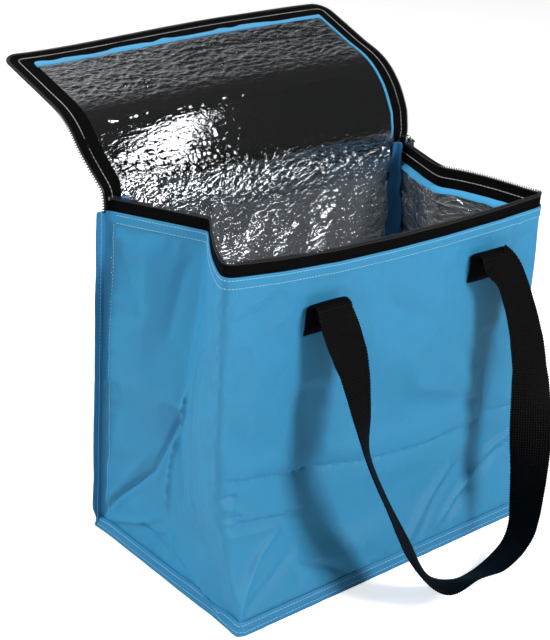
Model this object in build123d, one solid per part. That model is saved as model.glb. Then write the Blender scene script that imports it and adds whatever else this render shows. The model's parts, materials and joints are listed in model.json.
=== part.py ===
from build123d import *
import os
from math import cos, sin, pi, radians, sqrt

# Insulated cooler bag, standing open.  Millimetres.  +X is the bag's right, +Y its back,
# +Z up, and the origin is the middle of the base on the floor.
# The walls are a stack of fabric, foam and foil.  Both side walls tuck inwards like a paper
# bag's, the lid is sewn along the back edge and stands open, and each long wall has a loop
# handle of webbing.

# ---- body -----------------------------------------------------------------------------
base_depth = 196.0
back_y = base_depth / 2 - 1
back_half_width = 167.0
fabric_top = 289.0
liner_floor = 7.1
liner_top = 278.0
tuck_left = 45.0
tuck_right = 38.0
base_seam_height = 11.0
# The shape of the walls at each height: upright as far as the top of the base seam, then the
# front panel leans back, and the side walls fold inwards more and more towards the rim.
heights = [0.0, base_seam_height, 50.0, 105.0, 150.0, liner_top]
front_y = [-97.0, -97.0, -82.0, -69.0, -66.0, -64.0]
front_half_width = [170.0, 170.0, 172.0, 174.0, 175.0, 177.0]
tuck_share = [0.04, 0.04, 0.25, 0.38, 0.55, 1.0]
crease_y = [0.0, 0.0, 4.0, 8.0, 10.0, 16.0]

# ---- layers ---------------------------------------------------------------------------
fabric = 0.8
foam = 4.0
foil = 0.4
board = 2.0
gap = 0.1
foam_start = fabric + gap
foam_end = foam_start + foam
foil_start = foam_end + gap
foil_end = foil_start + foil

# ---- zip ------------------------------------------------------------------------------
tape_thickness = 1.0
tape_bottom = liner_top + 0.5
tape_top = 301.5
coil_size = 2.3
hem_thickness = 0.8
hem_height = 4.5
corner_relief = 3.0
slider_length = 11.0
slider_wall = 0.8
slider_bottom = 297.5
slider_top = 306.0
slider_setback = 12.0
pull_length = 24.0
pull_width = 7.0
pull_thickness = 1.6

# ---- lid, drawn shut and then swung open ------------------------------------------------
hinge_y = 96.0
hinge_z = 306.3
lid_level = hinge_z + 0.3
lid_rear_length = 67.0
lid_front_length = 102.0
lid_half_width = 169.0
lid_open_angle = 126.0
lid_curl_angle = 34.0
lid_corner_radius = 15.0
zip_margin = 14.0
lining_margin = 22.0
lid_thickness = fabric + foam + foil + 2 * gap
curl_z = lid_level + lid_thickness + 0.5
fold_gap = 0.4

# ---- seams ----------------------------------------------------------------------------
seam_thickness = 1.3
side_seam_width = 8.0
binding_width = 8.0
binding_thickness = 1.2

# ---- handles --------------------------------------------------------------------------
webbing_width = 35.0
webbing_thickness = 1.5
slit_z = 230.0
tab_top = 245.0
tail_bottom = 200.0
bend_z = 252.0
bend_radius = 6.8
handle_left_x = -80.0
handle_right_x = 107.0
tab_gap = 0.5
# The hanging loops: x, distance in front of the wall's tab, z, and turn.  A turn of 90 puts
# the width of the webbing along the wall, and 0 puts it square to the loop.
front_loop = [
    (-80, 13.6, 252, 90), (-76, 21, 233, 96), (-70, 30, 206, 84), (-70, 43, 172, 66),
    (-70, 55, 138, 46), (-58, 67, 100, 42), (-42, 83, 57, 46), (-20, 94, 24, 26),
    (14, 97, 15.5, -10), (50, 97, 14.5, -6), (86, 92, 29, -6), (104, 80, 62, 6),
    (118, 65, 105, 40), (128, 48, 153, 72), (129, 34, 194, 82), (121, 19, 236, 90),
    (107, 13.6, 252, 90),
]
back_loop = [
    (-80, 13.6, 252, 90), (-80, 19, 215, 88), (-81, 26, 165, 76), (-79, 33, 115, 58),
    (-65, 40, 62, 34), (-31, 45, 23, 10), (13, 47, 11, 0), (58, 45, 23, 10),
    (92, 40, 62, 34), (106, 33, 115, 58), (108, 26, 165, 76), (107, 19, 215, 88),
    (107, 13.6, 252, 90),
]


# ---- helpers --------------------------------------------------------------------------
def between(table, z):
    """The value of a wall table at height z, straight between its heights."""
    z = min(max(z, heights[0]), heights[-1])
    for low in range(len(heights) - 1):
        if z <= heights[low + 1]:
            share = (z - heights[low]) / (heights[low + 1] - heights[low])
            return table[low] + share * (table[low + 1] - table[low])


def wall_line(z, inset):
    """The bag's outline at height z, pulled in by inset.  It runs from the back left corner
    by the left crease, the two front corners and the right crease to the back right corner."""
    front = between(front_y, z)
    half = between(front_half_width, z)
    share = between(tuck_share, z)
    fold = between(crease_y, z)
    side = (half + back_half_width) / 2
    corners = [
        (-back_half_width, back_y), (-side + share * tuck_left, fold), (-half, front),
        (half, front), (side - share * tuck_right, fold), (back_half_width, back_y),
    ]
    count = len(corners)
    moved = []
    for k in range(count):
        normals = []
        for first, second in ((k - 1, k), (k, (k + 1) % count)):
            dx = corners[second][0] - corners[first][0]
            dy = corners[second][1] - corners[first][1]
            length = sqrt(dx * dx + dy * dy)
            normals.append((-dy / length, dx / length))
        (ax, ay), (bx, by) = normals
        scale = inset / (1 + ax * bx + ay * by)
        moved.append((corners[k][0] + scale * (ax + bx), corners[k][1] + scale * (ay + by), z))
    return moved


def towards(start, end, distance):
    """The point that lies distance along the way from start to end."""
    span = Vector(*end) - Vector(*start)
    return tuple(Vector(*start) + span.normalized() * distance)


def triangles(a, b, c, d):
    return [(a, b, c), (a, c, d)]


def skin_solid(outer, inner, ring=False):
    """A closed solid between two grids of points with the same number of rows and columns.
    With ring the last column joins the first."""
    rows, columns = len(outer), len(outer[0])
    faces = []
    for j in range(columns if ring else columns - 1):
        n = (j + 1) % columns
        for i in range(rows - 1):
            faces += triangles(outer[i][j], outer[i][n], outer[i + 1][n], outer[i + 1][j])
            faces += triangles(inner[i][j], inner[i + 1][j], inner[i + 1][n], inner[i][n])
        faces += triangles(outer[0][j], inner[0][j], inner[0][n], outer[0][n])
        faces += triangles(outer[-1][j], outer[-1][n], inner[-1][n], inner[-1][j])
    if not ring:
        for i in range(rows - 1):
            faces += triangles(outer[i][0], outer[i + 1][0], inner[i + 1][0], inner[i][0])
            faces += triangles(outer[i][-1], inner[i][-1], inner[i + 1][-1], outer[i + 1][-1])
    shell = Shell([Face(Wire.make_polygon(corners, close=True)) for corners in faces])
    solid = Solid(shell)
    return solid if solid.volume > 0 else Solid(Shell([-face for face in shell.faces()]))


def wall_levels(bottom, top):
    inside = sorted(set(heights + [liner_floor, fabric_top]))
    return [bottom] + [z for z in inside if bottom < z < top] + [top]


def wall_panel(first, last, bottom, top, start, end, relief=gap):
    """A layer of wall from outline corner first to corner last, between two insets.  Its two
    ends stop short of the corners by relief."""
    grids = []
    for inset in (start, end):
        rows = []
        for z in wall_levels(bottom, top):
            line = wall_line(z, inset)
            row = [line[k % len(line)] for k in range(first, last + 1)]
            ends = [towards(row[0], row[1], relief), towards(row[-1], row[-2], relief)]
            rows.append([ends[0]] + row[1:-1] + [ends[1]])
        grids.append(rows)
    return skin_solid(*grids)


def floor_panel(bottom, thickness, inset):
    """A flat layer of the base inside the walls."""
    corners = wall_line(bottom, inset)
    return extrude(Face(Wire.make_polygon(corners, close=True)), amount=thickness, dir=(0, 0, 1))


def block(low, high):
    """A box between two opposite corners."""
    size = [high[k] - low[k] for k in range(3)]
    centre = [(high[k] + low[k]) / 2 for k in range(3)]
    return Pos(*centre) * Box(*size)


# ---- walls, base and seams ----------------------------------------------------------------
BACK_LEFT, CREASE_LEFT, FRONT_LEFT, FRONT_RIGHT, CREASE_RIGHT, BACK_RIGHT, ROUND = range(7)
WALLS = {
    "left": (BACK_LEFT, FRONT_LEFT),
    "front": (FRONT_LEFT, FRONT_RIGHT),
    "right": (FRONT_RIGHT, BACK_RIGHT),
    "back": (BACK_RIGHT, ROUND),
}


def make_outer_wrap():
    """One length of fabric for the left, front and right walls, with the handle slits."""
    wrap = wall_panel(BACK_LEFT, BACK_RIGHT, 0, fabric_top, 0, fabric)
    return wrap - handle_slits("front")


def make_back_panel():
    panel = wall_panel(BACK_RIGHT, ROUND, 0, fabric_top, 0, fabric)
    return panel - handle_slits("back")


def make_foam(side):
    first, last = WALLS[side]
    sheet = wall_panel(first, last, liner_floor, liner_top, foam_start, foam_end)
    return sheet - tail_pockets(side) if side in ("front", "back") else sheet


def make_foil(side):
    first, last = WALLS[side]
    return wall_panel(first, last, liner_floor + foil + gap, liner_top, foil_start, foil_end)


def make_base_seam():
    """The sewn edge that stands round the foot of the walls."""
    grids = []
    for inset in (-gap - seam_thickness, -gap):
        grids.append([wall_line(0, inset), wall_line(base_seam_height, inset)])
    return skin_solid(*grids, ring=True)


def make_side_seam(side):
    """The sewn edge that stands out from a back corner, side being -1 for left, 1 for right."""
    near = back_half_width + gap
    far = near + side_seam_width
    low_x, high_x = min(side * near, side * far), max(side * near, side * far)
    bottom = base_seam_height + gap
    return block((low_x, back_y - seam_thickness, bottom), (high_x, back_y, fabric_top))


def make_corner_binding(side):
    """The bound edge of the lining along an inner back corner."""
    corner = wall_line(liner_top, foil_end)[BACK_RIGHT]
    far = corner[0] - binding_thickness - 2
    back = corner[1] - gap
    xs = sorted((side * far, side * (far - binding_width)))
    bottom = liner_floor + foil + 2 * gap
    return block((xs[0], back - binding_thickness, bottom), (xs[1], back, liner_top))


# ---- zip on the rim -----------------------------------------------------------------------
tape_start = fabric + gap
tape_end = tape_start + tape_thickness


def make_rim_tape():
    return wall_panel(BACK_LEFT, BACK_RIGHT, tape_bottom, tape_top, tape_start, tape_end, corner_relief)


def make_rim_coil():
    middle = (tape_start + tape_end) / 2
    bottom = tape_top + gap
    top = bottom + coil_size
    edges = (middle - coil_size / 2, middle + coil_size / 2)
    return wall_panel(BACK_LEFT, BACK_RIGHT, bottom, top, *edges, corner_relief)


def make_rim_hem():
    """The narrow fabric edge that covers the top of the lining inside the rim."""
    start = tape_end + gap
    edges = (start, start + hem_thickness)
    return wall_panel(BACK_LEFT, BACK_RIGHT, tape_bottom, tape_bottom + hem_height, *edges, corner_relief)


def make_zip_stop(corner, neighbour):
    """The clip that ends the zip at a back corner: a small block under the coil's end."""
    line = wall_line(tape_top, -gap - 0.4)
    centre = towards(line[corner], line[neighbour], corner_relief + 2)
    return Pos(centre[0], centre[1], tape_top - 2) * Box(0.6, 2.4, 3)


# The right rear fold of the rim, where the slider runs: its direction towards the back corner
# and its outward normal.
rim_now = wall_line(tape_top, 0)
run = (Vector(*rim_now[BACK_RIGHT]) - Vector(*rim_now[CREASE_RIGHT])).normalized()
outward = Vector(run.Y, -run.X, 0)
slider_centre = Vector(*towards(rim_now[BACK_RIGHT], rim_now[CREASE_RIGHT], slider_setback))


def slider_block(along, away, up):
    """A box given by its span along the run, outwards from the wall's face, and upwards."""
    size = [pair[1] - pair[0] for pair in (along, away, up)]
    centre = slider_centre + run * (sum(along) / 2) + outward * (sum(away) / 2)
    place = Plane((centre.X, centre.Y, sum(up) / 2), x_dir=tuple(run), z_dir=(0, 0, 1))
    return place * Box(size[0], size[1], size[2])


bail_offset = 4.4
bail_z = slider_bottom + 3.5
bail_wire = 1.0


def make_zip_slider():
    """Two plates joined over the coil, with a wire bail on the outer one."""
    half = slider_length / 2
    inner_face = -tape_end - coil_size / 2 - 0.2
    outer_face = 0.25
    inner = slider_block((-half, half), (inner_face - slider_wall, inner_face), (slider_bottom, slider_top))
    outer = slider_block((-half, half), (outer_face, outer_face + slider_wall), (slider_bottom, slider_top))
    bridge_bottom = tape_top + gap + coil_size + 0.5
    bridge = slider_block((-half, half), (inner_face - 0.1, outer_face + 0.1), (bridge_bottom, slider_top))
    body = inner + outer + bridge
    reach = (outer_face + slider_wall - 0.1, bail_offset + bail_wire / 2)
    for end in (-1, 1):
        post = sorted((end * (half - 0.5), end * (half - 1.6)))
        body += slider_block(post, reach, (bail_z - bail_wire / 2, bail_z + bail_wire / 2))
    rod = slider_block((-half + 1, half - 1), (bail_offset - bail_wire / 2, bail_offset + bail_wire / 2),
                       (bail_z - bail_wire / 2, bail_z + bail_wire / 2))
    return body + rod


def make_zip_pull():
    """A flat tab that hangs from the bail by an eye."""
    clearance = 0.3
    eye_half = bail_wire / 2 + clearance
    wall = 0.7
    outer_half = eye_half + wall
    half = pull_width / 2
    along = (-half, half)
    away = (bail_offset - outer_half, bail_offset + outer_half)
    eye = slider_block(along, away, (bail_z - outer_half, bail_z + outer_half))
    hole = (bail_offset - eye_half, bail_offset + eye_half)
    eye -= slider_block((-half - 1, half + 1), hole, (bail_z - eye_half, bail_z + eye_half))
    blade = (bail_offset - pull_thickness / 2, bail_offset + pull_thickness / 2)
    return eye + slider_block(along, blade, (bail_z - pull_length, bail_z - outer_half + 0.1))


# ---- lid ----------------------------------------------------------------------------------
def lid_plate(reach, margin, low, high, inner_margin=None):
    """A flat piece of the shut lid.  reach is its span from the hinge, margin how far its
    edges lie inside the lid's own, and inner_margin that of the opening in a ring."""
    start, end = reach
    full = lid_rear_length + lid_front_length
    free = end > lid_rear_length + 1

    def blank(edge):
        far = full - edge if free else end
        half = lid_half_width - edge
        plate = block((-half, hinge_y - far, lid_level + low), (half, hinge_y - start, lid_level + high))
        if free:
            radius = max(lid_corner_radius - edge, 2)
            corners = plate.edges().filter_by(Axis.Z).group_by(Axis.Y)[0]
            plate = fillet(corners, radius)
        return plate

    piece = blank(margin)
    if inner_margin is not None:
        start -= 1
        end += 0 if free else 1
        hole = blank(inner_margin)
        piece -= hole
    return piece


def swing_rear(piece):
    """Turns a piece of the shut lid's rear half to where the open lid stands."""
    axis = Axis((0, hinge_y, hinge_z), (1, 0, 0))
    return piece.rotate(axis, -lid_open_angle)


def swing_front(piece):
    """The same for the front half, which also droops about the fold between the halves."""
    fold = Axis((0, hinge_y - lid_rear_length, curl_z), (1, 0, 0))
    return swing_rear(piece.rotate(fold, -lid_curl_angle))


REAR = (1.0, lid_rear_length - fold_gap)
FRONT = (lid_rear_length + fold_gap, lid_rear_length + lid_front_length)
foil_z = (0, foil)
foam_z = (foil + gap, foil + gap + foam)
shell_z = (foil + foam + 2 * gap, lid_thickness)
hem_z = (0, hem_thickness)
lid_tape_z = (hem_thickness + gap, hem_thickness + gap + tape_thickness)


def make_lid_shell(reach, swing):
    """The outer fabric with its edge folded down onto the zip tape."""
    plate = lid_plate(reach, zip_margin, *shell_z)
    edge_z = (lid_tape_z[1] + gap, shell_z[0] + 0.05)
    edge = lid_plate(reach, zip_margin, *edge_z, inner_margin=zip_margin + 4)
    return swing(plate + edge)


def make_lid_foam(reach, swing):
    return swing(lid_plate(reach, lining_margin, *foam_z))


def make_lid_foil(reach, swing):
    return swing(lid_plate(reach, lining_margin, *foil_z))


def make_lid_ring(reach, swing, margin, inner_margin, low, high):
    return swing(lid_plate(reach, margin, low, high, inner_margin=inner_margin))


def side_of(ring, side):
    """The left (-1) or right (1) part of a rear ring, which is two separate strips."""
    strips = ring.solids().sort_by(Axis.X)
    return strips[0] if side < 0 else strips[-1]


LID_RINGS = {
    "tape": (coil_size + gap, lining_margin - 0.5, *lid_tape_z),
    "coil": (0, coil_size, lid_tape_z[0] - 0.6, lid_tape_z[0] - 0.6 + coil_size),
    "hem": (lining_margin - 3.5, lining_margin - 0.5, *hem_z),
}


def make_hinge_strip():
    """The upstanding end of the back fabric that the lid's shell is sewn to."""
    half = lid_half_width - zip_margin
    return block((-half, back_y - fabric, fabric_top + gap), (half, back_y, fabric_top + 10.5))


# ---- handles --------------------------------------------------------------------------------
def wall_face(side):
    """The y of the wall's outer face at the handles, and which way is outwards."""
    return (between(front_y, slit_z), -1) if side == "front" else (back_y, 1)


def tab_middle(side):
    face, way = wall_face(side)
    return face + way * (tab_gap + webbing_thickness / 2)


def span_box(x, ys, zs, extra=0.0):
    half = webbing_width / 2 + extra
    low_y, high_y = min(ys), max(ys)
    return block((x - half, low_y - extra, zs[0] - extra), (x + half, high_y + extra, zs[1] + extra))


def tail_span(side):
    """The y span of the sewn end that hangs inside the wall, between fabric and foam."""
    face, way = wall_face(side)
    lean = 1.0 if side == "front" else 0.0
    near = face - way * (fabric + 0.3 + lean)
    return near, near - way * webbing_thickness


def make_handle_tab(side, x):
    """The fixed end of a handle: a tail sewn inside the wall, and a tab out through the slit."""
    middle, (face, way) = tab_middle(side), wall_face(side)
    outer = (middle - webbing_thickness / 2, middle + webbing_thickness / 2)
    slit_low = slit_z - webbing_thickness / 2
    slit_high = slit_z + webbing_thickness / 2
    tab = span_box(x, outer, (slit_low, tab_top))
    throat = span_box(x, outer + tail_span(side), (slit_low, slit_high))
    tail = span_box(x, tail_span(side), (tail_bottom, slit_high))
    return tab + throat + tail


def handle_slits(side):
    middle = tab_middle(side)
    slit_low = slit_z - webbing_thickness / 2
    slit_high = slit_z + webbing_thickness / 2
    cuts = Part()
    for x in (handle_left_x, handle_right_x):
        cuts += span_box(x, (middle,) + tail_span(side), (slit_low, slit_high), 0.3)
    return cuts


def tail_pockets(side):
    """Room in the foam for the sewn ends of the handles."""
    face, way = wall_face(side)
    cuts = Part()
    for x in (handle_left_x, handle_right_x):
        spans = tail_span(side) + (face - way * (fabric - 1.0),)
        cuts += span_box(x, spans, (tail_bottom, slit_z + webbing_thickness / 2), 0.3)
    return cuts


def curve_point(table, k, share):
    """A smooth curve through the table's rows, at share of the way from row k to row k + 1."""
    last = len(table) - 1
    before, start = table[max(k - 1, 0)], table[k]
    end, after = table[k + 1], table[min(k + 2, last)]
    values = []
    for a, b, c, d in zip(before, start, end, after):
        cubic = -a + 3 * b - 3 * c + d
        square = 2 * a - 5 * b + 4 * c - d
        values.append(b + 0.5 * share * (c - a + share * (square + share * cubic)))
    return values


def handle_stations(side, table, steps):
    """Centre points and turns all along a handle: over one bend, round the loop, and back
    over the other bend."""
    middle, (face, way) = tab_middle(side), wall_face(side)
    pivot_y = middle + way * bend_radius
    bend_steps = 6
    first, last = [], []
    for k in range(bend_steps):
        angle = pi * k / bend_steps
        y = pivot_y - way * bend_radius * cos(angle)
        z = bend_z + bend_radius * sin(angle)
        first.append((handle_left_x, y, z, 90))
        last.append((handle_right_x, y, z, 90))
    loop = []
    for k in range(len(table) - 1):
        for step in range(steps):
            x, away, z, turn = curve_point(table, k, step / steps)
            loop.append((x, middle + way * away, z, turn))
    x, away, z, turn = table[-1]
    loop.append((x, middle + way * away, z, turn))
    return first + loop + last[::-1]


def make_handle(side, table, steps=2):
    """The free loop of a handle: webbing swept along its stations, turning as it goes."""
    stations = handle_stations(side, table, steps)
    way = wall_face(side)[1]
    points = [Vector(*row[:3]) for row in stations]
    bottom = min(points, key=lambda point: point.Z)
    top = (points[0] + points[-1]) * 0.5
    hang = (bottom - top).normalized()
    square = Vector(0, way * -hang.Z, way * hang.Y).normalized()
    corners = []
    for k, row in enumerate(stations):
        ahead = points[min(k + 1, len(points) - 1)] - points[max(k - 1, 0)]
        ahead = ahead.normalized()
        turn = radians(row[3])
        if k < 6 or k >= len(stations) - 6:
            across = Vector(-1 if k < 6 else 1, 0, 0)
        else:
            flat = ahead.cross(square)
            flat = (flat if flat.dot(points[k] - (top + bottom) * 0.5) > 0 else -flat).normalized()
            across = square * cos(turn) + flat * sin(turn)
        across = (across - ahead * across.dot(ahead)).normalized() * (webbing_width / 2)
        thick = ahead.cross(across).normalized() * (webbing_thickness / 2)
        corners.append([tuple(points[k] + across * a + thick * b)
                        for a, b in ((-1, -1), (1, -1), (1, 1), (-1, 1))])
    outer = [[row[0], row[1]] for row in corners]
    inner = [[row[3], row[2]] for row in corners]
    return skin_solid(outer, inner)


# ---- the parts --------------------------------------------------------------------------
parts = {
    "outer_wrap": make_outer_wrap(),
    "back_panel": make_back_panel(),
    "bottom_panel": floor_panel(0, fabric, fabric + gap),
    "base_board": floor_panel(fabric + gap, board, fabric + gap),
    "foam_bottom": floor_panel(fabric + board + 2 * gap, foam, fabric + gap),
    "foil_bottom": floor_panel(liner_floor, foil, foam_end + gap),
    "base_seam": make_base_seam(),
    "back_left_seam": make_side_seam(-1),
    "back_right_seam": make_side_seam(1),
    "corner_binding_left": make_corner_binding(-1),
    "corner_binding_right": make_corner_binding(1),
    "rim_tape": make_rim_tape(),
    "rim_coil": make_rim_coil(),
    "rim_hem": make_rim_hem(),
    "zip_stop_left": make_zip_stop(BACK_LEFT, CREASE_LEFT),
    "zip_stop_right": make_zip_stop(BACK_RIGHT, CREASE_RIGHT),
    "zip_slider": make_zip_slider(),
    "zip_pull": make_zip_pull(),
    "lid_hinge_strip": make_hinge_strip(),
    "front_handle": make_handle("front", front_loop),
    "back_handle": make_handle("back", back_loop),
}
for side in WALLS:
    parts["foam_" + side] = make_foam(side)
    parts["foil_" + side] = make_foil(side)
for side in ("front", "back"):
    for name, x in (("left", handle_left_x), ("right", handle_right_x)):
        parts[side + "_handle_tab_" + name] = make_handle_tab(side, x)
for half, reach, swing in (("rear", REAR, swing_rear), ("front", FRONT, swing_front)):
    parts["lid_" + half + "_shell"] = make_lid_shell(reach, swing)
    parts["lid_" + half + "_foam"] = make_lid_foam(reach, swing)
    parts["lid_" + half + "_foil"] = make_lid_foil(reach, swing)
for name, ring in LID_RINGS.items():
    parts["lid_front_" + name] = make_lid_ring(FRONT, swing_front, *ring)
    strips = make_lid_ring(REAR, swing_rear, *ring)
    parts["lid_rear_" + name + "_left"] = side_of(strips, -1)
    parts["lid_rear_" + name + "_right"] = side_of(strips, 1)

os.makedirs("parts", exist_ok=True)
for name, shape in parts.items():
    export_step(shape, os.path.join("parts", name + ".step"))
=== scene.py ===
import json
import math

import bpy
import numpy as np
from mathutils import Matrix, Vector


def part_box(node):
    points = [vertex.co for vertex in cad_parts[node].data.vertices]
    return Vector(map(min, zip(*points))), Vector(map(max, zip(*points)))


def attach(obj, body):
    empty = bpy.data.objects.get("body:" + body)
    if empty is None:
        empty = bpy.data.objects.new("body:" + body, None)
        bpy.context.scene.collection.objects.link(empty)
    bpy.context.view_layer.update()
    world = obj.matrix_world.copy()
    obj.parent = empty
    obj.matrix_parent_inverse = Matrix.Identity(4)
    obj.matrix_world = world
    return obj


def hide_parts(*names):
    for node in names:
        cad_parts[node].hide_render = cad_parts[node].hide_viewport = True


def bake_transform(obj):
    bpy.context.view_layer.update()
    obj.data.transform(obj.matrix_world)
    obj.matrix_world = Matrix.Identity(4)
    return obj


# The looks of the insulated cooler bag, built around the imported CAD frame.  All shapes are
# worked out in millimetres in the frame's own axes (+X right, +Y back, +Z up) and become metres
# when a mesh is made.

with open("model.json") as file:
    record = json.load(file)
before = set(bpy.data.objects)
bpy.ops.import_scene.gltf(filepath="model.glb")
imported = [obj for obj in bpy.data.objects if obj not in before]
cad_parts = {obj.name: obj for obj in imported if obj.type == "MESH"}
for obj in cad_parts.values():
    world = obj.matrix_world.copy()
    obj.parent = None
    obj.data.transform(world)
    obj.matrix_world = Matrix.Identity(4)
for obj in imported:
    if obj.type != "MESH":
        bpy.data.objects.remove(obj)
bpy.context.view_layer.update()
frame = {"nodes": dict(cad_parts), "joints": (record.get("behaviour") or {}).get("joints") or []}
MM = 0.001


# ---- the frame, in millimetres --------------------------------------------------------------
def node_box(name):
    low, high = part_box(name)
    return np.array(low) / MM, np.array(high) / MM


def joint_named(name):
    return next(joint for joint in frame["joints"] if joint["name"] == name)


wrap_low, wrap_high = node_box("outer_wrap")
FABRIC_TOP = wrap_high[2]
BACK_Y = wrap_high[1]
RIM_HALF = wrap_high[0]
BACK_HALF = node_box("back_panel")[1][0]
TAPE_TOP = FABRIC_TOP + 9.5
LINER_TOP = node_box("foil_front")[1][2]
LINER_FLOOR = node_box("foil_bottom")[0][2]
FLOOR_TOP = node_box("foil_bottom")[1][2]
SEAM_HEIGHT = node_box("base_seam")[1][2]
HINGE = np.array(joint_named("lid_hinge")["pos_m"]) / MM

# The walls, as the solids have them: upright as far as the base seam, then the front leans back
# and the two sides tuck in more and more towards the rim.
HEIGHTS = [0, 11, 50, 105, 150, 278]
FRONT_Y = [wrap_low[1], wrap_low[1], -82, -69, -66, -64]
FRONT_HALF = [170, 170, 172, 174, 175, RIM_HALF]
TUCK_SHARE = [0.04, 0.04, 0.25, 0.38, 0.55, 1.0]
CREASE_Y = [0, 0, 4, 8, 10, 16]
TUCK = {-1: 45.0, 1: 38.0}

FABRIC = 0.8
FOAM_START = 2.6
FOAM_END = 4.7
FOIL_START = 5.0
FOIL_END = 5.4
TAPE_INSET = 0.9
TAPE_THICKNESS = 1.0

# Lengths of the walls, for spacing points evenly along them.
SIDE_LENGTH = 175.0
FRONT_LENGTH = 348.0
BACK_LENGTH = 334.0
RIM_SIDE_LENGTH = 161.0
WALL_FOOT = 0.3
RIM_BAND = 14.0
SHARP_EDGE = math.radians(65)
UP = np.array([0.0, 0.0, 1.0])


# ---- numbers: easing, noise, resampling -------------------------------------------------------
def ease(t):
    t = np.clip(t, 0.0, 1.0)
    return t * t * (3 - 2 * t)


def unit(rows):
    """Vectors brought to length 1."""
    return rows / np.maximum(np.linalg.norm(rows, axis=-1, keepdims=True), 1e-9)


def square_to(rows, along):
    """Unit vectors like rows, but square to the unit vectors along."""
    return unit(rows - along * (rows * along).sum(1, keepdims=True))


def noise2(x, y, seed):
    """Smooth noise from -1 to 1, with one lump per unit of x and y."""
    lattice = np.random.RandomState(seed).uniform(-1, 1, (256, 256))
    column, row = np.floor(x).astype(int), np.floor(y).astype(int)
    fx, fy = ease(x - column), ease(y - row)

    def at(i, j):
        return lattice[(column + i) % 256, (row + j) % 256]

    low = at(0, 0) * (1 - fx) + at(1, 0) * fx
    high = at(0, 1) * (1 - fx) + at(1, 1) * fx
    return low * (1 - fy) + high * fy


def cubic_samples(count, positions):
    """For sampling a row of count values at fractional positions: four indices and weights."""
    start = np.clip(np.floor(positions).astype(int), 0, count - 2)
    t = positions - start
    weights = [-0.5 * t + t**2 - 0.5 * t**3, 1 - 2.5 * t**2 + 1.5 * t**3,
               0.5 * t + 2 * t**2 - 1.5 * t**3, -0.5 * t**2 + 0.5 * t**3]
    indices = [np.clip(start + k, 0, count - 1) for k in (-1, 0, 1, 2)]
    return indices, weights


def resample(field, rows, columns):
    """A smooth reading of field (rows, columns, 3) at fractional rows and columns."""
    indices, weights = cubic_samples(field.shape[0], rows)
    field = sum(field[i] * w[:, None, None] for i, w in zip(indices, weights))
    indices, weights = cubic_samples(field.shape[1], columns)
    return sum(field[:, i] * w[None, :, None] for i, w in zip(indices, weights))


def smooth_table(values, z, blur=4.0):
    """A table over HEIGHTS, read at z with its corners rounded over blur millimetres."""
    offsets = np.linspace(-2, 2, 9)
    shares = np.exp(-offsets**2)
    shares /= shares.sum()
    return sum(share * np.interp(z + offset * blur, HEIGHTS, values)
               for share, offset in zip(shares, offsets))


def fold_mark(a, b, line, width):
    """How strongly a fold along line marks each place (a, b): 1 on the line, fading to 0 to the
    sides and towards both of its ends."""
    mark = np.zeros(np.broadcast(a, b).shape)
    lengths = [math.dist(p, q) for p, q in zip(line, line[1:])]
    total, before = sum(lengths), 0.0
    for (p, q), length in zip(zip(line, line[1:]), lengths):
        da, db = (q[0] - p[0]) / length, (q[1] - p[1]) / length
        along = np.clip((a - p[0]) * da + (b - p[1]) * db, 0, length)
        distance = np.hypot(a - p[0] - along * da, b - p[1] - along * db)
        share = (before + along) / total
        fade = ease(share / 0.2) * ease((1 - share) / 0.2)
        mark = np.maximum(mark, np.exp(-(distance / width) ** 1.4) * fade)
        before += length
    return mark


# ---- meshes -----------------------------------------------------------------------------------
def make_mesh(name, points, quads, material, uv=None):
    """A mesh from points and four-cornered faces in millimetres, smooth but for its sharp edges."""
    points = np.asarray(points, float).reshape(-1, 3) * MM
    quads = np.asarray(quads, np.int32).reshape(-1, 4)
    mesh = bpy.data.meshes.new(name)
    mesh.vertices.add(len(points))
    mesh.vertices.foreach_set("co", points.astype(np.float32).ravel())
    mesh.loops.add(quads.size)
    mesh.loops.foreach_set("vertex_index", quads.ravel())
    mesh.polygons.add(len(quads))
    mesh.polygons.foreach_set("loop_start", np.arange(0, quads.size, 4, dtype=np.int32))
    mesh.polygons.foreach_set("use_smooth", np.full(len(quads), True))
    if uv is not None:
        flat = np.asarray(uv, float).reshape(-1, 2)[quads.ravel()] * MM
        layer = mesh.uv_layers.new(name="UVMap")
        layer.data.foreach_set("uv", flat.astype(np.float32).ravel())
    mesh.update(calc_edges=True)
    mesh.validate()
    mesh.set_sharp_from_angle(angle=SHARP_EDGE)
    mesh.materials.append(material)
    piece = bpy.data.objects.new(name, mesh)
    bpy.context.scene.collection.objects.link(piece)
    return piece


def grid_quads(rows, columns, ring=False, start=0, flip=False):
    """Faces of a grid of points, numbered from start; a ring's last column joins its first."""
    steps = np.arange(columns if ring else columns - 1)
    i, j = np.meshgrid(np.arange(rows - 1) * columns, steps, indexing="ij")
    n = (j + 1) % columns
    quads = np.stack([i + j, i + n, i + columns + n, i + columns + j], -1).reshape(-1, 4) + start
    return quads[:, ::-1] if flip else quads


def sheet_quads(rows, columns, ring=False):
    """Faces of a closed sheet whose outer grid of points comes before its inner grid."""
    half = rows * columns
    faces = [grid_quads(rows, columns, ring), grid_quads(rows, columns, ring, half, flip=True)]

    def rim(line, turn):
        a, b = line[:-1], line[1:]
        quads = np.stack([a, b, b + half, a + half], -1)
        faces.append(quads[:, ::-1] if turn else quads)

    first, last = np.arange(columns), np.arange(columns) + (rows - 1) * columns
    if ring:
        first, last = np.append(first, first[0]), np.append(last, last[0])
    rim(first, True)
    rim(last, False)
    if not ring:
        rim(np.arange(rows) * columns, False)
        rim(np.arange(rows) * columns + columns - 1, True)
    return np.concatenate(faces)


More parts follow.
